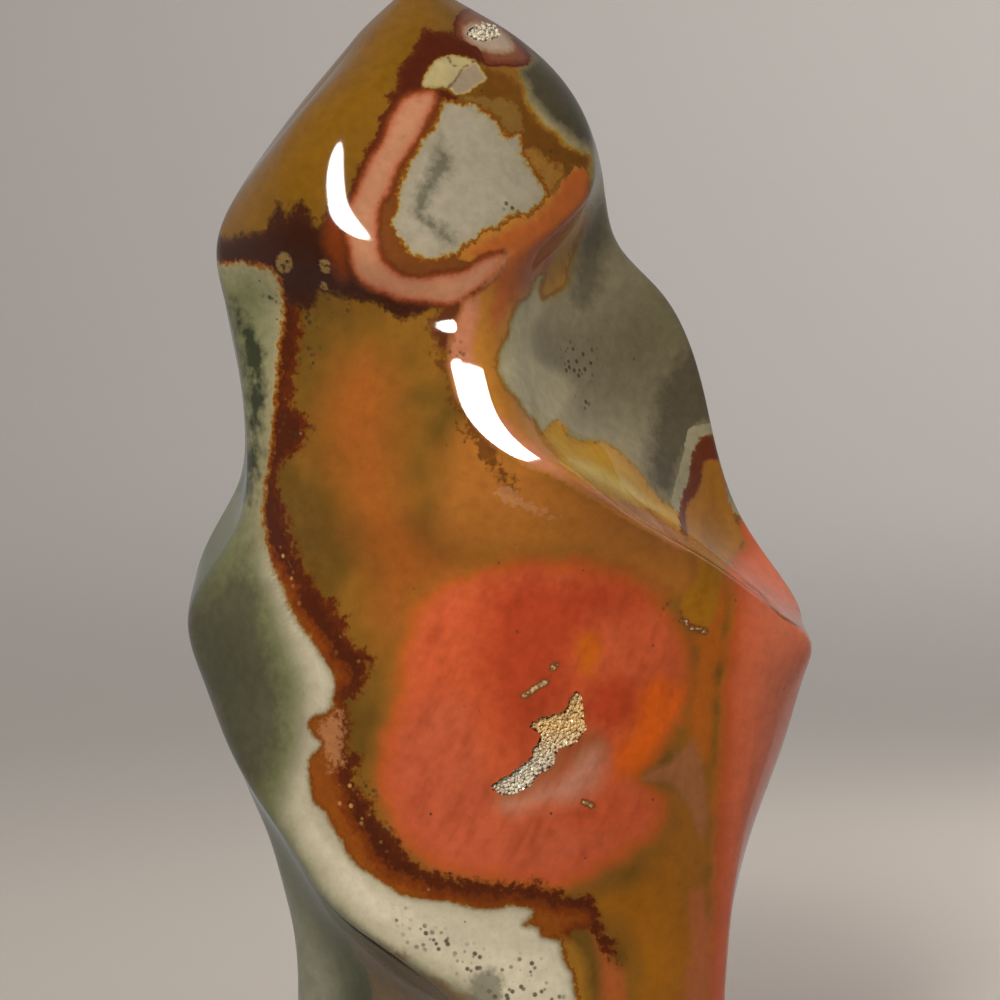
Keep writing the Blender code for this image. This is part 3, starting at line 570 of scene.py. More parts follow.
# The layers of colour from the lowest up: the marking, how fine and how wide the waver of
# its edge is, and its colours by their distance outside the edge in millimetres, each with
# how much it covers.
LAYERS = [
    ("gold_crown", 2, 6, [(-4, "7c540e", 1), (3, "7c540e", 0)]),
    ("ember_glow", 1, 3, [(-4, "9e581e", 0.95), (3.5, "98561e", 0)]),
    ("tan_shoulder", 1, 3, [(-2, "ae6b28", 0.9), (3, "ae6b28", 0)]),
    ("umber_foot", 2, 5, [(-2.5, "a4640f", 0.9), (3, "a4640f", 0)]),
    ("back_grey", 2, 4, [
        (-14, "565440", 1), (-5, "767054", 1), (-1.2, "a09474", 1), (-0.35, "9c8a50", 1),
        (0, "8a5a18", 1), (0.5, "7a4216", 1), (2.4, "562410", 1), (4.2, "5e3212", 0.7),
        (6.5, "744f18", 0),
    ]),
    ("back_slate", 2, 4, [(-2, "44422f", 0.9), (3, "565440", 0)]),
    ("back_eye", 1, 3, [
        (-5, "b85230", 1), (-1.6, "b5552c", 1), (-0.6, "b05a26", 1), (1.6, "96601c", 0),
    ]),
    ("back_heart", 1.5, 4, [(-2.5, "aa3a18", 0.95), (2.5, "b04420", 0)]),
    ("coral_eye", 0.8, 2.4, [
        (-4.4, "c85a32", 1), (-2.4, "c65c32", 1), (-0.9, "b65a20", 1), (0.6, "a05e22", 0.6),
        (2.4, "96601c", 0),
    ]),
    ("left_coral", 1, 4, [(-3, "c45e3c", 0.8), (2.5, "c25228", 0)]),
    ("red_heart", 1.5, 4, [(-3.4, "b04020", 0.9), (3.6, "b04420", 0)]),
    ("red_cheek", 1, 3, [(-1.5, "b23e1c", 0.85), (2, "b8461f", 0)]),
    ("orange_cheek", 1, 2, [(-1.2, "e06212", 0.9), (1.5, "cc5c1c", 0)]),
    ("orange_fleck", 1, 2, [(-0.8, "cc6410", 0.9), (1.2, "c45c18", 0)]),
    ("notch_tan", 0.6, 1, [(-0.6, "a5683c", 0.9), (0.5, "9c6434", 0)]),
    ("olive_haze", 1, 2, [(-1, "8c5e36", 0.7), (1.6, "8c5a34", 0)]),
    # Painted sheen: the whitish haze below the druse.
    ("painted_red_sheen", 1, 2, [(-1.6, "ca8c72", 0.85), (2.2, "c4704c", 0)]),
    ("red_foot", 1, 2, [(-0.8, "b35c2a", 0.8), (1, "b35c2a", 0)]),
    ("red_flank", 0.6, 2, [
        (-8, "da7450", 1), (-3, "d66a44", 1), (-1, "c45a28", 1), (0, "b86420", 0.8),
        (1, "a46418", 0),
    ]),
    ("orange_seam", 0.8, 2, [(-0.6, "bc6218", 0.85), (1, "b0601a", 0)]),
    ("rose_foot", 0.8, 2, [(-0.6, "b86338", 0.7), (1, "ac5c2c", 0)]),
    ("rust_band", 4, 2.4, [
        (-1.5, "4c1f0a", 1), (-0.2, "5e270b", 1), (0.35, "70400e", 0.6), (0.9, "724a10", 0),
    ]),
    ("copper_band", 3.2, 2.6, [
        (-2.4, "8e4a12", 1), (-1, "7a370c", 1), (-0.1, "6c300c", 0.9), (0.6, "643010", 0),
    ]),
    ("salmon_knot", 5, 4, [(-1.2, "b87c4e", 0.8), (0.3, "a0683a", 0)]),
    ("olive_foot", 1, 2, [(-0.8, "a06e20", 0.9), (1, "a06e20", 0)]),
    ("maroon_patch", 3, 2, [
        (-1.5, "3a1a0c", 1), (-0.2, "42200f", 1), (0.4, "4a2c0c", 0.7), (0.9, "5a3c0c", 0),
    ]),
    ("rust_patch", 1.5, 2, [(-1, "78340e", 0.9), (1, "6a3415", 0)]),
    ("maroon_strap", 2, 1.5, [(-0.8, "501f0c", 1), (0, "5a280e", 1), (0.5, "643a10", 0)]),
    ("brown_lip", 2, 1, [(-0.4, "74401a", 1), (0.5, "7c4c1c", 0)]),
    ("orange_crown", 1, 1, [(-1, "b0742c", 1), (0, "ac702a", 1), (0.4, "9c6424", 0)]),
    ("orange_sweep", 1, 2, [(-1, "ae5c26", 1), (0.8, "ac642a", 0)]),
    ("ochre_arch", 2, 2, [(-0.8, "6c4312", 1), (0, "744a16", 1), (0.3, "7a5a24", 0)]),
    ("gold_arch", 3, 5, [(-0.6, "83602a", 0.95), (0.5, "7a5420", 0)]),
    ("amber_arch", 3, 4, [(-0.6, "9c6e2c", 0.95), (0.6, "985f28", 0)]),
    ("gold_tongue", 0.8, 0.8, [(-0.4, "b0802c", 1), (0.4, "a4682c", 0)]),
    ("umber_fringe", 5, 5, [(-0.5, "643812", 0.85), (0.5, "704414", 0)]),
    ("pink_chips", 4, 5, [(-0.5, "b87c4c", 0.8), (0.4, "96602c", 0)]),
    ("maroon_crease", 2, 1.5, [(-0.4, "5a2a14", 0.9), (0.6, "6a3a1c", 0)]),
    ("pink_band", 0.8, 1, [
        (-1.6, "ba825f", 1), (-0.7, "b8795a", 1), (-0.2, "a8603e", 1), (0.1, "8c4422", 1),
        (0.5, "6a3014", 0.9), (1.1, "5a280e", 0),
    ]),
    ("salmon_rib", 1.4, 2, [(-0.8, "bc7856", 1), (0.6, "ba723c", 0)]),
    ("window", 2, 1.6, [
        (-2.4, "a59b86", 1), (-0.6, "a0967e", 1), (-0.3, "a09060", 1), (0, "94621c", 1),
        (0.3, "7c4212", 1), (0.6, "6a3610", 0),
    ]),
    ("window_stain", 2, 2, [(-0.8, "6a6652", 0.9), (1.0, "8a846c", 0)]),
    # Partly painted shade: the grey darkens inward from the edge, standing for the flank's shade.
    ("grey_flank", 1.4, 1.0, [
        (-16, "6e664c", 1), (-9, "7c7258", 1), (-4, "8c8266", 1), (-1.2, "988c6c", 1),
        (-0.45, "9c8c5c", 1),
        (-0.1, "9a7a28", 1), (0.3, "905c1c", 0.9), (0.6, "8c5820", 0),
    ]),
    ("ash_tip", 1, 2, [(-0.8, "b4aa86", 0.9), (1.5, "988e70", 0)]),
    ("slate_brow", 1, 2, [(-1, "433d2a", 0.95), (1.2, "5a543c", 0)]),
    ("slate_fold", 1, 2, [(-1, "635a44", 0.8), (1.5, "6a6048", 0)]),
    # Painted shade on the right of the grey flank.
    ("painted_flank_shade", 1.5, 3, [(-1, "544c3a", 0.9), (2, "6a6048", 0)]),
    ("gold_lens", 1.6, 1.4, [(-1, "ca9830", 1), (0, "c08a2a", 1), (0.4, "b0802a", 0)]),
    ("cream_lens", 0.8, 1, [(-0.8, "dabb66", 0.95), (0.6, "c69a40", 0)]),
    ("cream_strip", 0.8, 0.6, [(-0.4, "a09878", 1), (0, "a09878", 1), (0.15, "a09878", 0)]),
    ("maroon_strip", 1.5, 0.8, [(-0.6, "6a2c0c", 1), (0, "743c16", 1), (0.35, "845020", 0)]),
    ("olive_wedge", 1, 1, [
        (-3, "98600c", 1), (-1, "a86e14", 1), (0, "a66a1a", 1), (0.5, "a4661a", 0),
    ]),
    ("tip_cap", 1, 0.6, [
        (-1.2, "7c4a30", 1), (-0.5, "6a3420", 1), (0, "521e0e", 1), (0.3, "5a2c14", 0),
    ]),
    ("tip_halo", 0.8, 0.6, [(-0.8, "b09a84", 1), (0, "9c7c60", 0.9), (0.5, "8c5a3c", 0)]),
    ("straw_patch", 0.8, 0.5, [
        (-0.4, "b3a374", 1), (0, "a08c50", 1), (0.15, "7c5018", 0.8), (0.4, "6a3a10", 0),
    ]),
    ("shell_patch", 0.6, 0.5, [(-0.3, "988670", 0.9), (0.3, "988670", 0)]),
    ("grey_cheek", 2.2, 1.4, [
        (-16, "4e4e3a", 1), (-9, "606142", 1), (-4, "787853", 1), (-1.2, "8c8766", 1),
        (-0.45, "9a8e68", 1),
        (-0.1, "8c5c14", 1), (0.25, "7c3e0e", 0.9), (0.6, "6c3a14", 0),
    ]),
    # Partly painted light: the palest cream is partly a painted sheen, and where it ends at the
    # lower-left crease the stone beyond is partly painted shade.
    ("cream_and_painted_sheen", 1.2, 2.6, [(-3.4, "ccc2a8", 1), (-1, "b4ab90", 0.95), (2.2, "8c8870", 0)]),
    # Painted shade of the hollow facet on the left cheek.
    ("painted_hollow_shade", 2, 5, [(-1, "2a2e20", 0.9), (0.8, "5a573f", 0)]),
    # Painted shade of the facet under the lower-left crease.
    ("painted_cheek_shade", 1.5, 3, [(-2, "4a4634", 0.7), (2, "605a41", 0)]),
    ("pale_foot", 2, 4, [(-3, "8e8c78", 0.75), (2.5, "7e7c66", 0)]),
    ("brown_foot", 2, 6, [(-0.8, "776044", 0.9), (0.8, "7a6c50", 0)]),
    ("ash_foot", 2, 2, [(-0.6, "777260", 0.8), (0.8, "8c8470", 0)]),
]

# The markings that lie within another one. They end this far inside its edge, in
# millimetres, and this many times more crisply than their own edge would.
HELD_WITHIN = {
    "cream_and_painted_sheen": "grey_cheek", "painted_hollow_shade": "grey_cheek", "painted_cheek_shade": "grey_cheek",
    "pale_foot": "grey_cheek",
    "shell_patch": "straw_patch", "window_stain": "window", "tip_halo": "tip_cap",
    "ash_tip": "grey_flank", "slate_fold": "grey_flank", "painted_flank_shade": "grey_flank",
}
HELD_MARGIN = 0.3
HELD_STEEPNESS = 5

# Clusters of dark specks: where each lies in the picture, and its radius there.
SPECK_CLUSTERS = [
    ((578, 362), 27), ((582, 402), 11), ((302, 433), 16), ((311, 357), 16), ((310, 322), 12),
    ((338, 306), 16), ((440, 945), 20), ((508, 985), 28), ((528, 968), 20), ((457, 350), 12),
    ((672, 610), 12), ((286, 263), 12), ((512, 205), 12), ((365, 795), 16), ((418, 935), 18),
    ((385, 835), 14), ((470, 962), 22), ((546, 1000), 24), ((400, 915), 12), ((270, 300), 10),
]

# How far back into the stone the specks, spots, crack lines, the painted shade line of a crease,
# and seams reach.
SPECK_DEEP = 4

# The pale spots that the maroon patch holds, and thin lines: healed crack lines, the last of them
# painted shade along a crease on the right flank, and seams of quartz.
PALE_SPOTS = [((284, 263), 10, 13), ((325, 266), 7, 9), ((324, 286), 5, 4)]
CRACKS_AND_CREASE_SHADE = [
    [(476, 60), (463, 68), (456, 80), (447, 89)],
    [(448, 58), (452, 64), (461, 69)],
    # Painted shade: a dark line along the crease between two facets of the right flank.
    [(742, 580), (758, 591), (770, 605), (782, 617), (808, 631)],
]
QUARTZ_SEAMS = [
    [(524, 696), (535, 689), (547, 680)], [(551, 668), (556, 665)], [(584, 802), (592, 805)],
    [(682, 620), (693, 628), (705, 631)],
]


def smooth_line(points):
    """A natural cubic spline through (height, value) points, as a function of height."""
    heights = np.array([p[0] for p in points], float)
    values = np.array([p[1] for p in points], float)
    steps = np.diff(heights)
    slopes = np.diff(values) / steps
    count = len(points)
    matrix = np.eye(count)
    right = np.zeros(count)
    for i in range(1, count - 1):
        matrix[i, i - 1 : i + 2] = steps[i - 1], 2 * (steps[i - 1] + steps[i]), steps[i]
        right[i] = 6 * (slopes[i] - slopes[i - 1])
    bends = np.linalg.solve(matrix, right)

    def value(height):
        i = int(np.clip(np.searchsorted(heights, height) - 1, 0, count - 2))
        before = heights[i + 1] - height
        after = height - heights[i]
        step = steps[i]
        curve = (bends[i] * before**3 + bends[i + 1] * after**3) / (6 * step)
        start = (values[i] / step - bends[i] * step / 6) * before
        end = (values[i + 1] / step - bends[i + 1] * step / 6) * after
        return curve + start + end

    return value


def column(points, index):
    """One column of a ridge's points, as (height, value)."""
    return [(p[0], p[index]) for p in points]


RIDGE_X = {name: smooth_line(column(points, 1)) for name, points in RIDGES.items()}
RIDGE_Y = {name: smooth_line(column(points, 2)) for name, points in RIDGES.items()}
SWELL = {name: smooth_line(points) for name, points in SWELLS.items()}
ROUNDING = {name: smooth_line(points) for name, points in ROUNDINGS.items()}


def face_point(start, end, swell, share):
    """A point on one face's line at one height, swollen or hollowed between its ridges."""
    along = end - start
    outward = np.array([along[1], -along[0]]) / np.linalg.norm(along)
    return start + along * share + outward * swell * 4 * share * (1 - share)


def section(height, fineness):
    """The stone's outline at one height: six faces, joined by rounded ridges."""
    corners = [np.array([RIDGE_X[n](height), RIDGE_Y[n](height)]) for n in RIDGE_ORDER]
    swells = [SWELL[n](height) for n in RIDGE_ORDER]
    widths = [ROUNDING[n](height) for n in RIDGE_ORDER]
    count = len(corners)
    outline = []
    for i, name in enumerate(RIDGE_ORDER):
        following = (i + 1) % count
        start, end, after = corners[i], corners[following], corners[(i + 2) % count]
        length = np.linalg.norm(end - start)
        first = min(widths[i] / length, WIDEST_ROUNDING)
        last = 1 - min(widths[following] / length, WIDEST_ROUNDING)
        for share in np.linspace(first, last, int(FACE_POINTS[name] * fineness)):
            outline.append(face_point(start, end, swells[i], share))
        next_first = min(widths[following] / np.linalg.norm(after - end), WIDEST_ROUNDING)
        leave = face_point(start, end, swells[i], last)
        arrive = face_point(end, after, swells[following], next_first)
        for share in np.linspace(0, 1, RIDGE_POINTS[RIDGE_ORDER[following]] + 2)[1:-1]:
            curve = leave * (1 - share) ** 2 + end * 2 * share * (1 - share) + arrive * share**2
            outline.append(curve)
    return np.array(outline)


def levels(count):
    """Heights up the stone: even along the body, and closer together on the rounded tip."""
    shoulder = HEIGHT - TIP_ROUNDING
    body = np.linspace(BASE_ROUNDING, shoulder, count)
    angles = np.linspace(0, math.pi / 2, count // BODY_LEVELS_PER_TIP_LEVEL + 1)[1:-1]
    return list(body) + list(shoulder + TIP_ROUNDING * np.sin(angles))


def tip_share(height):
    """How much of its section is left at a height on the rounded tip."""
    above = max(0.0, height - (HEIGHT - TIP_ROUNDING)) / TIP_ROUNDING
    return math.sqrt(max(0.0, 1 - above**2))


def stone_rings(fineness):
    """The stone's outlines from its base up, as arrays of points in millimetres."""
    base = section(0, fineness)
    middle = base.mean(axis=0)
    reach = np.linalg.norm(base - middle, axis=1, keepdims=True)
    inset = middle + (base - middle) * (1 - BASE_INSET / reach)
    rings = [np.column_stack([inset, np.zeros(len(inset))])]
    for height in levels(int(LEVELS * fineness)):
        outline = section(height, fineness)
        middle = outline.mean(axis=0)
        outline = middle + (outline - middle) * tip_share(height)
        rings.append(np.column_stack([outline, np.full(len(outline), height)]))
    return rings


def fitted(rings, box):
    """The rings moved onto a box and drawn in to it, so that the loft never outgrows it."""
    points = np.concatenate(rings)
    low, high = points.min(axis=0), points.max(axis=0)
    box_low, box_high = np.array(box[0]) / MM, np.array(box[1]) / MM
    scale = (box_high - box_low) / (high - low)
    scale[2] = 1.0
    moved = [(ring - low) * scale + [box_low[0], box_low[1], 0] for ring in rings]
    return moved, low, scale, box_low


def loft(name, rings, tip):
    """A closed mesh through the rings, with a flat base and one point at the tip."""
    count = len(rings[0])
    places = np.concatenate([*rings, [tip]]) * MM
    faces = [list(reversed(range(count)))]
    for row in range(len(rings) - 1):
        for i in range(count):
            j = (i + 1) % count
            low, high = row * count, (row + 1) * count
            faces.append((low + i, low + j, high + j, high + i))
    last, top = (len(rings) - 1) * count, len(places) - 1
    faces.extend((last + i, last + (i + 1) % count, top) for i in range(count))
    mesh = bpy.data.meshes.new(name)
    mesh.from_pydata(places.tolist(), [], faces)
    mesh.validate()
    return mesh


def closed_outline(points, steps):
    """A smooth closed outline through the points, in a few steps between each two."""
    places = np.array(points, float)
    before, after = np.roll(places, 1, axis=0), np.roll(places, -1, axis=0)
    beyond = np.roll(places, -2, axis=0)
    made = []
    for step in range(steps):
        t = step / steps
        a = 2 * t**3 - 3 * t**2 + 1
        b = t**3 - 2 * t**2 + t
        slope_in, slope_out = (after - before) / 2, (beyond - places) / 2
        made.append(places * a + slope_in * b + after * (1 - a) + slope_out * (t**3 - t**2))
    return np.stack(made, axis=1).reshape(-1, 2)


def picture_places(points):
    """Where points in millimetres lie in the picture, and how wide a millimetre is there."""
    level, tilt = math.cos(VIEW_DOWN), math.sin(VIEW_DOWN)
    camera = np.array([0, -VIEW_DISTANCE * level, VIEW_HEIGHT + VIEW_DISTANCE * tilt])
    offset = points * MM - camera
    ahead = np.array([0, level, -tilt])
    upward = np.array([0, tilt, level])
    depth = offset @ ahead
    scale = PICTURE * VIEW_DISTANCE / VIEW_WIDTH / depth
    across = PICTURE / 2 + offset[:, 0] * scale
    down = PICTURE / 2 - (offset @ upward) * scale
    return np.column_stack([across, down]), scale * MM


def edge_distance(places, outline):
    """Each place's distance from a closed outline, negative inside it."""
    nearest = np.full(len(places), np.inf)
    inside = np.zeros(len(places), bool)
    for start, end in zip(outline, np.roll(outline, -1, axis=0)):
        along = end - start
        reach = places - start
        share = np.clip(reach @ along / max(along @ along, TINY), 0, 1)
        gap = reach - share[:, None] * along
        nearest = np.minimum(nearest, (gap * gap).sum(axis=1))
        crosses = (start[1] > places[:, 1]) != (end[1] > places[:, 1])
        rise = along[1] if along[1] else TINY
        reached = start[0] + (places[:, 1] - start[1]) * along[0] / rise
        inside ^= crosses & (places[:, 0] < reached)
    return np.where(inside, -1, 1) * np.sqrt(nearest)


def marking_distance(points, places, scale, deep, outline):
    """How far each point of the stone lies outside one marking, in millimetres."""
    smooth = closed_outline(outline, EDGE_STEPS)
    margin = FAR / 2 * scale.max()
    low, high = smooth.min(axis=0) - margin, smooth.max(axis=0) + margin
    near = ((places > low) & (places < high)).all(axis=1)
    distance = np.full(len(points), FAR)
    distance[near] = edge_distance(places[near], smooth) / scale[near]
    return np.maximum(distance, np.clip(points[:, 1] - deep, -FAR, FAR))


def line_distance(places, scale, lines):
    """Each place's distance from the nearest of some open lines, in millimetres."""
    nearest = np.full(len(places), FAR)
    for line in lines:
        for start, end in zip(line, line[1:]):
            start, along = np.array(start, float), np.subtract(end, start).astype(float)
            share = np.clip((places - start) @ along / (along @ along), 0, 1)
            gap = np.linalg.norm(places - start - share[:, None] * along, axis=1)
            nearest = np.minimum(nearest, gap / scale)
    return nearest


def spot_nearness(places, spots):
    """How near each place is to the middle of some round spots, from 0 outside them to 1."""
    most = np.zeros(len(places))
    for middle, *radii in spots:
        reach = (places - np.array(middle)) / np.array([radii[0], radii[-1]])
        most = np.maximum(most, 1 - np.linalg.norm(reach, axis=1))
    return most


def stone_channels(points):
    """Every marking's distance at each point of the stone, by name."""
    places, scale = picture_places(points)
    channels = {}
    for name, (deep, outline) in MARKINGS.items():
        channels[name] = marking_distance(points, places, scale, deep, outline)
    flat, even = points[:, [0, 2]], np.ones(len(points))
    for name, (front, outline) in BACK_MARKINGS.items():
        distance = marking_distance(points, flat, even, BEYOND_STONE, outline)
        channels[name] = np.maximum(distance, np.clip(front - points[:, 1], -FAR, FAR))
    for name, holder in HELD_WITHIN.items():
        beyond = (channels[holder] + HELD_MARGIN) * HELD_STEEPNESS
        channels[name] = np.maximum(channels[name], np.clip(beyond, -FAR, FAR))
    hidden = points[:, 1] > SPECK_DEEP
    channels["cracks"] = np.where(hidden, FAR, line_distance(places, scale, CRACKS_AND_CREASE_SHADE))
    channels["quartz_seams"] = np.where(hidden, FAR, line_distance(places, scale, QUARTZ_SEAMS))
    channels["pale_spots"] = np.where(hidden, 0, spot_nearness(places, PALE_SPOTS))
    channels["speck_clusters"] = np.where(hidden, 0, spot_nearness(places, SPECK_CLUSTERS))
    return channels


def store_channels(mesh, channels):
    """Keeps the distances on the mesh, three to an attribute, and says where each one is."""
    kept = {}
    names = list(channels)
    for start in range(0, len(names), 3):
        group = names[start : start + 3]
        values = np.zeros((len(mesh.vertices), 3), np.float32)
        for axis, name in enumerate(group):
            values[:, axis] = channels[name]
            kept[name] = (f"marks_{start // 3:02d}", axis)
        made = mesh.attributes.new(kept[group[0]][0], "FLOAT_VECTOR", "POINT")
        made.data.foreach_set("vector", values.ravel())
    return kept


def linear(colour):
    """An sRGB hex colour as linear red, green, blue and full cover."""
    parts = [int(colour[i : i + 2], 16) / 255 for i in (0, 2, 4)]
    return [p / 12.92 if p <= 0.04045 else ((p + 0.055) / 1.055) ** 2.4 for p in parts] + [1.0]


def add(tree, kind, settings=None, links=None):
    """Adds a node, with its settings and what is joined to its inputs."""
    made = tree.nodes.new(kind)
    for key, value in (settings or {}).items():
        if isinstance(key, str) and hasattr(made, key):
            setattr(made, key, value)
        else:
            made.inputs[key].default_value = value
    for key, source in (links or {}).items():
        if isinstance(source, bpy.types.Node):
            source = next(output for output in source.outputs if output.enabled)
        tree.links.new(source, made.inputs[key])
    return made


def lay_stops(ramp, stops, reach):
    """Sets a ramp's colours, by distances from -reach to reach."""
    elements = ramp.color_ramp.elements
    while len(elements) < len(stops):
        elements.new(0.5)
    for element, (distance, colour, cover) in zip(elements, stops):
        element.position = (distance + reach) / (2 * reach)
        element.color = linear(colour)[:3] + [cover]


def new_finish(name):
    """An empty finish with its shader, and the tree that they lie in."""
    made = bpy.data.materials.new(name)
    made.use_nodes = True
    return made, made.node_tree, made.node_tree.nodes["Principled BSDF"]


# Feature sizes in the jasper, in millimetres: the crumbs of its silica mud, the waver of
# its bands, the clouds of iron in it, its mottles, the cells that its specks and flecks lie
# in, and the grains of its quartz.
CRUMB = 0.9
WAVER = 3.4
CLOUD = 13.0
MOTTLE = 1.7
SPECK_CELL = 2.6
FINE_SPECK_CELL = 1.15
FLECK_CELL = 1.5
GRAIN = 0.42

# The streaks in the coral eye: how wide one is, how it is drawn out along its length, and
# how it leans, in radians.
STREAK = 2.4
STREAK_DRAW = (1.0, 1.0, 0.28)
STREAK_LEAN = -0.5

# The colours of the mud under every marking, and of what is too small to be in the layers.
MUD_OCHRES = ("6e4e1a", "855a1c")
MUD_UMBER = "64480f"
FLECK_GOLD = "c08a4c"
LONE_SPECK = "3c3420"
FINE_SPECK = "3a3220"
# The brown of the healed crack lines, also used for the painted shade line along a crease.
CRACK_AND_CREASE_SHADE_BROWN = "5a3a1a"
PALE_SPOT_TAN = "8c7040"
SEAM_RIM = "7c4420"
SEAM_GRAINS = ("7c541a", "d8c090")
STREAK_RED = "9c3c1c"

# The druse: its smoky and its golden crystals, each darkest and palest, its iron stain, and
# the size of the stain's patches in millimetres.
SMOKY_QUARTZ = ("a89c84", "ece4d0")
GOLDEN_QUARTZ = ("b0803c", "f4d8a0")
IRON_STAIN = "6a4a24"
STAIN_PATCH = 2.5

# The heights between which the open hollow's druse turns from smoky to golden, and a height
# above that hollow and below the small one, whose druse is smoky.
GOLDEN_START = 53
GOLDEN_FULL = 58.5
BETWEEN_HOLLOWS = 100

# The index of quartz, which jasper and druse both are, and how rough each surface is.
QUARTZ_INDEX = 1.54
POLISH_ROUGHNESS = 0.07
CRYSTAL_ROUGHNESS = 0.16

# The paper's two tones, how large its tooth is drawn in cycles for each metre, and how
# rough and how little shiny it is.
PAPER_TONES = ("aca69e", "a29e98")
PAPER_TOOTH = 1.2
PAPER_ROUGHNESS = 0.9
PAPER_SHINE = 0.1


def stored_distances(tree, kept):
    """The distances that the stone's mesh keeps, as one socket for each marking's name."""
    split = {}
    for attribute, axis in kept.values():
        if attribute not in split:
            source = add(tree, "ShaderNodeAttribute", {"attribute_name": attribute})
            stored = source.outputs["Vector"]
            split[attribute] = add(tree, "ShaderNodeSeparateXYZ", links={0: stored})
    return {name: split[attribute].outputs[axis] for name, (attribute, axis) in kept.items()}


def mud_colour(tree, cloud, waver):
    """The ochre of the silica mud that lies under every marking, with browner clouds."""
    clouded = add(tree, "ShaderNodeMapRange", {"From Min": 0.42, "From Max": 0.6}, {"Value": cloud})
    dark, light = MUD_OCHRES
    ochre = add(
        tree, "ShaderNodeMix", {"data_type": "RGBA", 6: linear(dark), 7: linear(light)},
        {0: clouded},
    )
    browned = add(
        tree, "ShaderNodeMapRange", {"From Min": 0.5, "From Max": 0.75, "To Max": 0.5},
        {"Value": waver},
    )
    return add(
        tree, "ShaderNodeMix", {"data_type": "RGBA", 7: linear(MUD_UMBER)}, {0: browned, 6: ochre}
    )


def lay_markings(tree, colour, marks, crumb, waver):
    """The colour with every marking laid over it, and each marking's own frayed distance."""
    frayed = {}
    for name, fine, wide, stops in LAYERS:
        reach = max(abs(stop[0]) for stop in stops)
        crumbled = add(
            tree, "ShaderNodeMath", {"operation": "MULTIPLY_ADD", 1: fine},
            {0: crumb, 2: marks[name]},
        )
        edge = add(
            tree, "ShaderNodeMath", {"operation": "MULTIPLY_ADD", 1: wide}, {0: waver, 2: crumbled}
        )
        frayed[name] = edge
        place = add(
            tree, "ShaderNodeMath", {"operation": "MULTIPLY_ADD", 1: 0.5 / reach, 2: 0.5},
            {0: edge},
        )
        ramp = add(tree, "ShaderNodeValToRGB", links={0: place})
        lay_stops(ramp, stops, reach)
        colour = add(
            tree, "ShaderNodeMix", {"data_type": "RGBA"},
            {0: ramp.outputs["Alpha"], 6: colour, 7: ramp.outputs["Color"]},
        )
    return colour, frayed


def lay_gold_flecks(tree, colour, where, frayed, cloud, waver):
    """Flecks of golden quartz and iron, thick in the rust band."""
    cells = add(tree, "ShaderNodeTexVoronoi", {"Scale": 1 / (FLECK_CELL * MM)}, {"Vector": where})
    fleck = add(
        tree, "ShaderNodeMapRange", {"From Min": 0.3, "From Max": 0.16},
        {"Value": cells.outputs["Distance"]},
    )
    chosen = add(tree, "ShaderNodeSeparateColor", links={0: cells.outputs["Color"]})
    cover = fleck
    for source, low, high in (
        (chosen, 0.35, 0.8),
        (frayed["rust_band"], 0.2, -0.6),
        (frayed["grey_cheek"], 0.5, 1.0),
        (cloud, 0.48, 0.56),
        (waver, 0.45, 0.6),
    ):
        share = add(
            tree, "ShaderNodeMapRange", {"From Min": low, "From Max": high}, {"Value": source}
        )
        cover = add(tree, "ShaderNodeMath", {"operation": "MULTIPLY"}, {0: cover, 1: share})
    return add(
        tree, "ShaderNodeMix", {"data_type": "RGBA", 7: linear(FLECK_GOLD)}, {0: cover, 6: colour}
    )


def lay_dark_specks(tree, colour, where, marks, waver):
    """Dark specks of iron, thin over the greys and close together in clusters."""
    cells = add(tree, "ShaderNodeTexVoronoi", {"Scale": 1 / (SPECK_CELL * MM)}, {"Vector": where})
    size = add(tree, "ShaderNodeSeparateColor", links={0: cells.outputs["Color"]})
    radius = add(
        tree, "ShaderNodeMapRange", {"From Min": 0.55, "From Max": 1.0, "To Max": 0.13},
        {"Value": size},
    )
    rim = add(
        tree, "ShaderNodeMath", {"operation": "SUBTRACT"}, {0: cells.outputs["Distance"], 1: radius}
    )
    lone = add(tree, "ShaderNodeMapRange", {"From Min": 0.0, "From Max": -0.05}, {"Value": rim})
    thinned = add(
        tree, "ShaderNodeMapRange",
        {"From Min": 0.4, "From Max": 0.55, "To Min": 0.1, "To Max": 0.75}, {"Value": waver},
    )
    cover = add(tree, "ShaderNodeMath", {"operation": "MULTIPLY"}, {0: lone, 1: thinned})
    colour = add(
        tree, "ShaderNodeMix", {"data_type": "RGBA", 7: linear(LONE_SPECK)}, {0: cover, 6: colour}
    )
    cells = add(
        tree, "ShaderNodeTexVoronoi", {"Scale": 1 / (FINE_SPECK_CELL * MM)}, {"Vector": where}
    )
    close = add(
        tree, "ShaderNodeMapRange", {"From Min": 0.4, "From Max": 0.24},
        {"Value": cells.outputs["Distance"]},
    )
    gathered = add(
        tree, "ShaderNodeMapRange", {"From Min": 0.0, "From Max": 0.5, "To Max": 0.85},
        {"Value": marks["speck_clusters"]},
    )
    cover = add(tree, "ShaderNodeMath", {"operation": "MULTIPLY"}, {0: close, 1: gathered})
    return add(
        tree, "ShaderNodeMix", {"data_type": "RGBA", 7: linear(FINE_SPECK)}, {0: cover, 6: colour}
    )


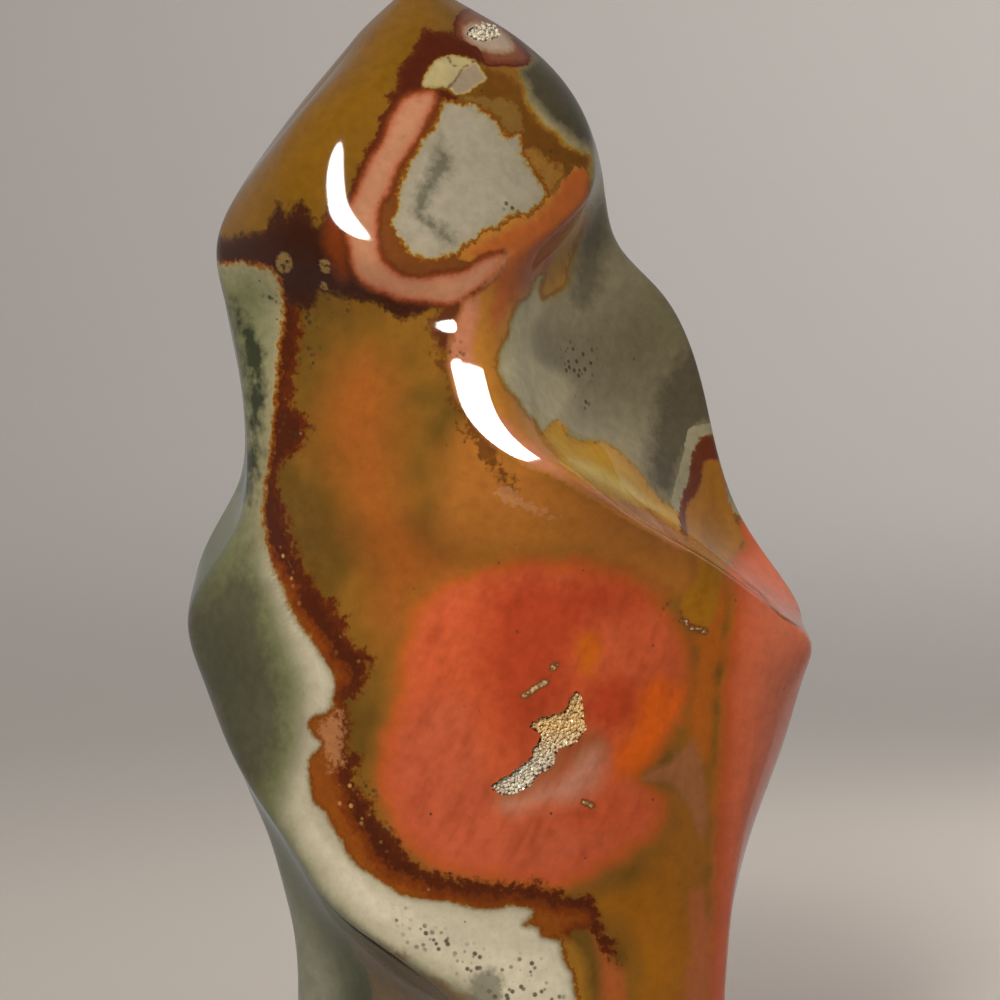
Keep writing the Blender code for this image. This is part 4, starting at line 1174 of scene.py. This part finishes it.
def lay_cracks_and_seams(tree, colour, where, marks, crumb, crumbs):
    """The healed crack lines and a painted shade line along a crease, the pale spots, and the
    narrow seams of sugary quartz.
    """
    edge = add(
        tree, "ShaderNodeMath", {"operation": "MULTIPLY_ADD", 1: 0.5},
        {0: crumb, 2: marks["cracks"]},
    )
    cover = add(
        tree, "ShaderNodeMapRange", {"From Min": 0.32, "From Max": 0.08, "To Max": 0.75},
        {"Value": edge},
    )
    colour = add(
        tree, "ShaderNodeMix", {"data_type": "RGBA", 7: linear(CRACK_AND_CREASE_SHADE_BROWN)}, {0: cover, 6: colour}
    )
    near = add(
        tree, "ShaderNodeMapRange", {"From Min": 0.1, "From Max": 0.3},
        {"Value": marks["pale_spots"]},
    )
    broken = add(tree, "ShaderNodeMapRange", {"From Min": 0.36, "From Max": 0.5}, {"Value": crumbs})
    cover = add(tree, "ShaderNodeMath", {"operation": "MULTIPLY"}, {0: near, 1: broken})
    colour = add(
        tree, "ShaderNodeMix", {"data_type": "RGBA", 7: linear(PALE_SPOT_TAN)},
        {0: cover, 6: colour},
    )
    edge = add(
        tree, "ShaderNodeMath", {"operation": "MULTIPLY_ADD", 1: 0.9},
        {0: crumb, 2: marks["quartz_seams"]},
    )
    cover = add(tree, "ShaderNodeMapRange", {"From Min": 0.75, "From Max": 0.45}, {"Value": edge})
    colour = add(
        tree, "ShaderNodeMix", {"data_type": "RGBA", 7: linear(SEAM_RIM)}, {0: cover, 6: colour}
    )
    grains = add(tree, "ShaderNodeTexVoronoi", {"Scale": 1 / (GRAIN * MM)}, {"Vector": where})
    share = add(tree, "ShaderNodeSeparateColor", links={0: grains.outputs["Color"]})
    dark, light = SEAM_GRAINS
    grain = add(
        tree, "ShaderNodeMix", {"data_type": "RGBA", 6: linear(dark), 7: linear(light)},
        {0: share},
    )
    cover = add(tree, "ShaderNodeMapRange", {"From Min": 0.4, "From Max": 0.25}, {"Value": edge})
    return add(tree, "ShaderNodeMix", {"data_type": "RGBA"}, {0: cover, 6: colour, 7: grain})


def lay_streaks(tree, colour, where, frayed):
    """Soft streaks of deeper red in the coral eye, where iron crept along the old mud."""
    leant = add(
        tree, "ShaderNodeVectorRotate", {"rotation_type": "Y_AXIS", "Angle": STREAK_LEAN},
        {0: where},
    )
    drawn = add(
        tree, "ShaderNodeVectorMath", {"operation": "MULTIPLY", 1: STREAK_DRAW}, {0: leant}
    )
    strokes = add(
        tree, "ShaderNodeTexNoise", {"Scale": 1 / (STREAK * MM), "Detail": 2, "Roughness": 0.6},
        {"Vector": drawn},
    )
    stroke = add(
        tree, "ShaderNodeMapRange", {"From Min": 0.45, "From Max": 0.75, "To Max": 0.5},
        {"Value": strokes},
    )
    inside = add(
        tree, "ShaderNodeMapRange", {"From Min": -1.0, "From Max": -4.0},
        {"Value": frayed["coral_eye"]},
    )
    cover = add(tree, "ShaderNodeMath", {"operation": "MULTIPLY"}, {0: stroke, 1: inside})
    return add(
        tree, "ShaderNodeMix", {"data_type": "RGBA", 7: linear(STREAK_RED)}, {0: cover, 6: colour}
    )


def lay_mottling(tree, colour, where, cloud):
    """The soft mottling of the whole stone, about a tenth lighter and darker."""
    mottles = add(
        tree, "ShaderNodeTexNoise", {"Scale": 1 / (MOTTLE * MM), "Detail": 3, "Roughness": 0.6},
        {"Vector": where},
    )
    fine = add(
        tree, "ShaderNodeMapRange",
        {"From Min": 0.3, "From Max": 0.7, "To Min": 0.73, "To Max": 0.91}, {"Value": mottles},
    )
    broad = add(
        tree, "ShaderNodeMapRange",
        {"From Min": 0.3, "From Max": 0.7, "To Min": 0.93, "To Max": 1.06}, {"Value": cloud},
    )
    tone = add(tree, "ShaderNodeMath", {"operation": "MULTIPLY"}, {0: fine, 1: broad})
    tint = add(tree, "ShaderNodeCombineColor", links={0: tone, 1: tone, 2: tone})
    return add(
        tree, "ShaderNodeMix", {"data_type": "RGBA", "blend_type": "MULTIPLY", 0: 1.0},
        {6: colour, 7: tint},
    )


def polished_jasper(kept):
    """Polychrome jasper, ground and then polished with cerium to a wet-looking gloss.

    Its colours are opaque and sit in the stone, and the polish adds crisp white highlights
    and a pale sheen where it is seen at a low angle.
    """
    made, tree, shader = new_finish("polished_jasper")
    where = add(tree, "ShaderNodeTexCoord").outputs["Object"]
    marks = stored_distances(tree, kept)
    crumbs, wavers, cloud = (
        add(
            tree, "ShaderNodeTexNoise", {"Scale": 1 / (size * MM), "Detail": 2, "Roughness": rough},
            {"Vector": where},
        )
        for size, rough in ((CRUMB, 0.6), (WAVER, 0.55), (CLOUD, 0.5))
    )
    crumb = add(tree, "ShaderNodeMath", {"operation": "SUBTRACT", 1: 0.5}, {0: crumbs})
    waver = add(tree, "ShaderNodeMath", {"operation": "SUBTRACT", 1: 0.5}, {0: wavers})
    colour = mud_colour(tree, cloud, wavers)
    colour, frayed = lay_markings(tree, colour, marks, crumb, waver)
    colour = lay_streaks(tree, colour, where, frayed)
    colour = lay_gold_flecks(tree, colour, where, frayed, cloud, wavers)
    colour = lay_dark_specks(tree, colour, where, marks, wavers)
    colour = lay_cracks_and_seams(tree, colour, where, marks, crumb, crumbs)
    colour = lay_mottling(tree, colour, where, cloud)
    tree.links.new(colour.outputs[2], shader.inputs["Base Color"])
    # The polish is fine enough to show a lamp's edge, a little softened.
    shader.inputs["IOR"].default_value = QUARTZ_INDEX
    shader.inputs["Roughness"].default_value = POLISH_ROUGHNESS
    return made


def druse_quartz():
    """Druse: small pointed quartz, clear to smoky, over iron-stained gold."""
    made, tree, shader = new_finish("druse_crystal")
    where = add(tree, "ShaderNodeTexCoord").outputs["Object"]
    patches = add(
        tree, "ShaderNodeTexNoise", {"Scale": 1 / (STAIN_PATCH * MM), "Detail": 2},
        {"Vector": where},
    )
    grains = add(tree, "ShaderNodeTexVoronoi", {"Scale": 1 / (GRAIN * MM)}, {"Vector": where})
    height = add(tree, "ShaderNodeSeparateXYZ", links={0: where}).outputs[2]
    above = add(
        tree, "ShaderNodeMapRange", {"From Min": GOLDEN_START * MM, "From Max": GOLDEN_FULL * MM},
        {"Value": height},
    )
    in_body = add(
        tree, "ShaderNodeMath", {"operation": "LESS_THAN", 1: BETWEEN_HOLLOWS * MM}, {0: height}
    )
    golden = add(tree, "ShaderNodeMath", {"operation": "MULTIPLY"}, {0: above, 1: in_body})
    smoky, gold = (
        add(
            tree, "ShaderNodeMix", {"data_type": "RGBA", 6: linear(dark), 7: linear(light)},
            {0: grains.outputs["Distance"]},
        )
        for dark, light in (SMOKY_QUARTZ, GOLDEN_QUARTZ)
    )
    both = add(tree, "ShaderNodeMix", {"data_type": "RGBA"}, {0: golden, 6: smoky, 7: gold})
    stain = add(
        tree, "ShaderNodeMapRange", {"From Min": 0.55, "From Max": 0.7, "To Max": 0.4},
        {"Value": patches},
    )
    stained = add(
        tree, "ShaderNodeMix", {"data_type": "RGBA", 7: linear(IRON_STAIN)}, {0: stain, 6: both}
    )
    tree.links.new(stained.outputs[2], shader.inputs["Base Color"])
    # Natural crystal faces: clean, but not as smooth as the ground polish.
    shader.inputs["IOR"].default_value = QUARTZ_INDEX
    shader.inputs["Roughness"].default_value = CRYSTAL_ROUGHNESS
    return made


def matt_paper():
    """Seamless paper: uncoated and warm pale grey, with a faint tooth."""
    made, tree, shader = new_finish("matt_paper")
    where = add(tree, "ShaderNodeTexCoord").outputs["Object"]
    tooth = add(
        tree, "ShaderNodeTexNoise", {"Scale": PAPER_TOOTH, "Detail": 1}, {"Vector": where}
    )
    light, dark = PAPER_TONES
    tone = add(
        tree, "ShaderNodeMix", {"data_type": "RGBA", 6: linear(light), 7: linear(dark)},
        {0: tooth},
    )
    tree.links.new(tone.outputs[2], shader.inputs["Base Color"])
    shader.inputs["Roughness"].default_value = PAPER_ROUGHNESS
    shader.inputs["Specular IOR Level"].default_value = PAPER_SHINE
    return made


# The quartz points: how far apart they stand, and their radius, in millimetres. They reach
# up to just under the polished surface, and are deepest in the middle of the hollow.
POINT_SPACING = 0.3
POINT_RADIUS = (0.2, 0.36)
POINT_ROOT = 1.5
POINT_TIP = (0.1, 0.42)
POINT_SINK = 0.14
POINT_SIDES = 6

# No point stands nearer to the mouth's edge than this, and none sinks further than one that
# stands this far inside it.
POINT_MARGIN = 0.02
SINK_REACH = 1.6

# How far a point strays from its place, as a share of the spacing, how much it leans, how
# long its tip is in radii, and the shortest that its shaft may be, as a share of its length.
POINT_STRAY = 0.3
POINT_LEAN = 0.32
POINT_CAP = (0.9, 1.7)
SHORTEST_SHAFT = 0.2

# How deep a hollow's floor lies, how its mouth is drawn and chipped, and how far in front of
# the stone its cutter and the rays that look for the surface start, in millimetres.
HOLLOW_DEPTH = 1.3
MOUTH_STEPS = 5
MOUTH_JITTER = 0.14
CUTTER_FRONT = -60.0
RAY_FRONT = -200.0

# Edges that turn by more than this many degrees stay crisp.
SHARP_ANGLE = 55


def placed(name, content):
    """A new object with a mesh, a lamp or a lens in it, put in the scene."""
    made = bpy.data.objects.new(name, content)
    bpy.context.scene.collection.objects.link(made)
    return made


def closed_piece(name, shape):
    """A new object with the shape's faces, all turned outward."""
    bmesh.ops.recalc_face_normals(shape, faces=shape.faces)
    mesh = bpy.data.meshes.new(name)
    shape.to_mesh(mesh)
    shape.free()
    return placed(name, mesh)


def mouth(name, shift, scale, low):
    """A hollow's jagged mouth, in x and z in metres, on the fitted stone."""
    chips = random.Random(name + "_mouth")
    smooth = closed_outline(HOLLOWS[name], MOUTH_STEPS)
    edge = []
    for x, z in smooth:
        x = (x - shift[0]) * scale[0] + low[0] + chips.uniform(-MOUTH_JITTER, MOUTH_JITTER)
        edge.append(Vector((x, z + chips.uniform(-MOUTH_JITTER, MOUTH_JITTER))) * MM)
    return edge


def front_y(tree, x, z):
    """The front surface's y at a place, found with a ray from the front, in metres."""
    place = tree.ray_cast(Vector((x, RAY_FRONT * MM, z)), Vector((0, 1, 0)))[0]
    return place.y if place else None


def hollow_cutter(name, edge, tree):
    """A closed cutter from in front of the stone to the plane of the hollow's floor."""
    table = np.array([(p.x, p.y, 1.0, front_y(tree, p.x, p.y)) for p in edge])
    plane = np.linalg.lstsq(table[:, :3], table[:, 3], rcond=None)[0]
    shape = bmesh.new()
    near = [shape.verts.new((place.x, CUTTER_FRONT * MM, place.y)) for place in edge]
    far = []
    for place in edge:
        y = plane @ (place.x, place.y, 1.0) + HOLLOW_DEPTH * MM
        far.append(shape.verts.new((place.x, y, place.y)))
    count = len(edge)
    for i in range(count):
        j = (i + 1) % count
        shape.faces.new((near[i], near[j], far[j], far[i]))
    shape.faces.new(near)
    shape.faces.new(far)
    return closed_piece(name, shape)


def quartz_points(name, edge, tree):
    """A crust of small quartz points that fills a hollow up to its mouth."""
    chance = random.Random(name)
    outline = np.array([tuple(p) for p in edge])
    low, high = outline.min(axis=0), outline.max(axis=0)
    step = POINT_SPACING * MM
    columns, rows = ((high - low) / step).astype(int) + 2
    places = []
    for row in range(rows):
        for column in range(columns):
            stray = chance.uniform(-POINT_STRAY, POINT_STRAY)
            x = low[0] + (column + 0.5 * (row % 2) + stray) * step
            z = low[1] + (row + chance.uniform(-POINT_STRAY, POINT_STRAY)) * step
            places.append((x, z))
    places = np.array(places)
    depth = -edge_distance(places, outline) / MM
    shape = bmesh.new()
    for (x, z), inside in zip(places, depth):
        if inside < POINT_MARGIN:
            continue
        y = front_y(tree, x, z)
        radius = chance.uniform(*POINT_RADIUS) * MM
        sink = chance.uniform(*POINT_TIP) + min(inside, SINK_REACH) * POINT_SINK
        tip = y + sink * MM
        root = y + POINT_ROOT * MM
        lean = Vector((chance.gauss(0, POINT_LEAN), -1, chance.gauss(0, POINT_LEAN))).normalized()
        turn = chance.uniform(0, math.pi)
        across = lean.orthogonal().normalized()
        other = lean.cross(across)
        length = root - tip
        shoulder = length - radius * chance.uniform(*POINT_CAP)
        start = Vector((x, root, z))
        rings = []
        for along in (0.0, max(shoulder, SHORTEST_SHAFT * length)):
            ring = []
            for k in range(POINT_SIDES):
                angle = turn + k * 2 * math.pi / POINT_SIDES
                side = across * math.cos(angle) + other * math.sin(angle)
                ring.append(shape.verts.new(start + lean * along + side * radius))
            rings.append(ring)
        point = shape.verts.new(start + lean * length)
        for k in range(POINT_SIDES):
            m = (k + 1) % POINT_SIDES
            shape.faces.new((rings[0][k], rings[0][m], rings[1][m], rings[1][k]))
            shape.faces.new((rings[1][k], rings[1][m], point))
        shape.faces.new(list(reversed(rings[0])))
    return closed_piece(name, shape)


def jasper_freeform():
    """The stone with its hollows cut and its markings laid, and its two crusts of quartz."""
    fineness = 1.0
    rings, shift, scale, low = fitted(stone_rings(fineness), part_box("jasper_stone"))
    tip = np.array([*rings[-1][:, :2].mean(axis=0), HEIGHT])
    whole = loft("freeform_blank", rings, tip)
    blank = placed("freeform_blank", whole)
    corners = [v.co for v in whole.vertices]
    tree = BVHTree.FromPolygons(corners, [p.vertices for p in whole.polygons])
    quartz = druse_quartz()
    cutters = []
    for name in HOLLOWS:
        edge = mouth(name, shift, scale, low)
        cutter = hollow_cutter(f"{name}_cutter", edge, tree)
        cut = blank.modifiers.new(f"{name}_hollow", "BOOLEAN")
        cut.operation = "DIFFERENCE"
        cut.solver = "EXACT"
        cut.object = cutter
        cutters.append(cutter)
        crust = quartz_points(f"{name}_points", edge, tree)
        crust.data.materials.append(quartz)
        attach(crust, "root")
        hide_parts(name)
    bpy.context.view_layer.update()
    cut_blank = blank.evaluated_get(bpy.context.evaluated_depsgraph_get())
    carved = bpy.data.meshes.new_from_object(cut_blank)
    for spent in (*cutters, blank):
        bpy.data.objects.remove(spent)
    carved.name = "polished_stone"
    stone = placed("polished_stone", carved)
    places = np.zeros(len(carved.vertices) * 3, np.float32)
    carved.vertices.foreach_get("co", places)
    kept = store_channels(carved, stone_channels(places.reshape(-1, 3).astype(float) / MM))
    carved.materials.clear()
    carved.materials.append(polished_jasper(kept))
    carved.shade_smooth()
    carved.set_sharp_from_angle(angle=math.radians(SHARP_ANGLE))
    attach(stone, "root")
    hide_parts("jasper_stone")


# The paper: a round floor, in metres, that bends up into one wall all the way round. Its
# first ring of points lies under the stone.
PAPER_MIDDLE = 0.6
PAPER_FLOOR = 1.2
PAPER_BEND = 0.9
PAPER_TOP = 2.4
PAPER_SIDES = 72
BEND_STEPS = 14


def paper_surround():
    """The pale floor, which runs up into the background in one soft bend."""
    profile = [(PAPER_MIDDLE, 0.0), (PAPER_FLOOR, 0.0)]
    for step in range(1, BEND_STEPS + 1):
        angle = step / BEND_STEPS * math.pi / 2
        out = PAPER_FLOOR + PAPER_BEND * math.sin(angle)
        profile.append((out, PAPER_BEND * (1 - math.cos(angle))))
    profile.append((PAPER_FLOOR + PAPER_BEND, PAPER_TOP))
    turns = [side / PAPER_SIDES * 2 * math.pi for side in range(PAPER_SIDES)]
    places = [(out * math.cos(a), out * math.sin(a), z) for out, z in profile for a in turns]
    faces = [tuple(range(PAPER_SIDES))]
    for ring in range(len(profile) - 1):
        for side in range(PAPER_SIDES):
            near, far = ring * PAPER_SIDES, (ring + 1) * PAPER_SIDES
            following = (side + 1) % PAPER_SIDES
            faces.append((near + side, far + side, far + following, near + following))
    mesh = bpy.data.meshes.new("paper_surround")
    mesh.from_pydata(places, [], faces)
    mesh.materials.append(matt_paper())
    mesh.shade_smooth()
    made = placed("paper_surround", mesh)
    # The stone's polish shows the soft room, and not the edge where floor turns to wall.
    made.visible_glossy = False


# The lamps: where each one stands and what it points at, its width and height, all in
# metres, and its power in watts and colour. The softbox gives the crisp highlights, and the
# others light the paper: one hangs over it behind the stone, and one stands low beside the
# stone and throws a narrow beam on the floor at its right.
LAMPS = {
    "key_softbox": ((-0.288, -0.813, 0.616), (0, 0, 0.11), 0.30, 0.52, 12.0, "fffaf4"),
    "back_paper_lamp": ((0.7, 1.45, 1.3), (0.75, 1.5, 0.0), 1.6, 1.2, 27.0, "fbfaff"),
    "right_paper_lamp": ((0.5, 0.3, 0.35), (0.2, 0.2, 0.0), 0.3, 0.3, 0.5, "fff4ec"),
}

# How wide the right lamp's beam is, in radians.
BEAM_SPREAD = math.radians(60)

# The room's soft light, and how much of it is left on the camera's side, which is dim. It
# is dimmest and brightest where a direction's y passes these two.
ROOM_COLOUR = "c8c6c2"
ROOM_STRENGTH = 0.52
DIM_FRONT = 0.25
DIMMEST_Y = -0.4
BRIGHTEST_Y = 0.7

# How many times light is followed from one surface to the next.
LIGHT_BOUNCES = 2


def studio():
    """The lamps, the room's soft light, and the camera at the photograph's viewpoint."""
    for name, (place, aim, width, height, power, colour) in LAMPS.items():
        light = bpy.data.lights.new(name, "AREA")
        light.shape = "ELLIPSE"
        light.size, light.size_y = width, height
        light.energy = power
        light.color = linear(colour)[:3]
        if name == "right_paper_lamp":
            light.spread = BEAM_SPREAD
        lamp = placed(name, light)
        lamp.location = place
        lamp.rotation_euler = (Vector(place) - Vector(aim)).to_track_quat("Z", "Y").to_euler()
        lamp.visible_glossy = name == "key_softbox"
    room = bpy.data.worlds.new("room")
    room.use_nodes = True
    tree = room.node_tree
    air = tree.nodes["Background"]
    air.inputs["Color"].default_value = linear(ROOM_COLOUR)
    around = add(tree, "ShaderNodeTexCoord")
    toward = add(tree, "ShaderNodeSeparateXYZ", links={0: around.outputs["Generated"]})
    bright = add(
        tree, "ShaderNodeMapRange",
        {
            "From Min": DIMMEST_Y, "From Max": BRIGHTEST_Y,
            "To Min": ROOM_STRENGTH * DIM_FRONT, "To Max": ROOM_STRENGTH,
        },
        {"Value": toward.outputs["Y"]},
    )
    tree.links.new(bright.outputs["Result"], air.inputs["Strength"])
    bpy.context.scene.world = room
    lens = bpy.data.cameras.new("photo_view")
    lens.sensor_width = FILM
    lens.lens = FILM * VIEW_DISTANCE / VIEW_WIDTH
    lens.clip_start = NEAR_LIMIT
    camera = placed("photo_view", lens)
    back = Vector((0, -math.cos(VIEW_DOWN), math.sin(VIEW_DOWN)))
    camera.location = Vector((0, 0, VIEW_HEIGHT)) + back * VIEW_DISTANCE
    camera.rotation_euler = (math.pi / 2 - VIEW_DOWN, 0, 0)
    bpy.context.scene.camera = camera
    bpy.context.scene.view_settings.view_transform = "Standard"
    bpy.context.scene.cycles.max_bounces = LIGHT_BOUNCES


jasper_freeform()
paper_surround()
studio()
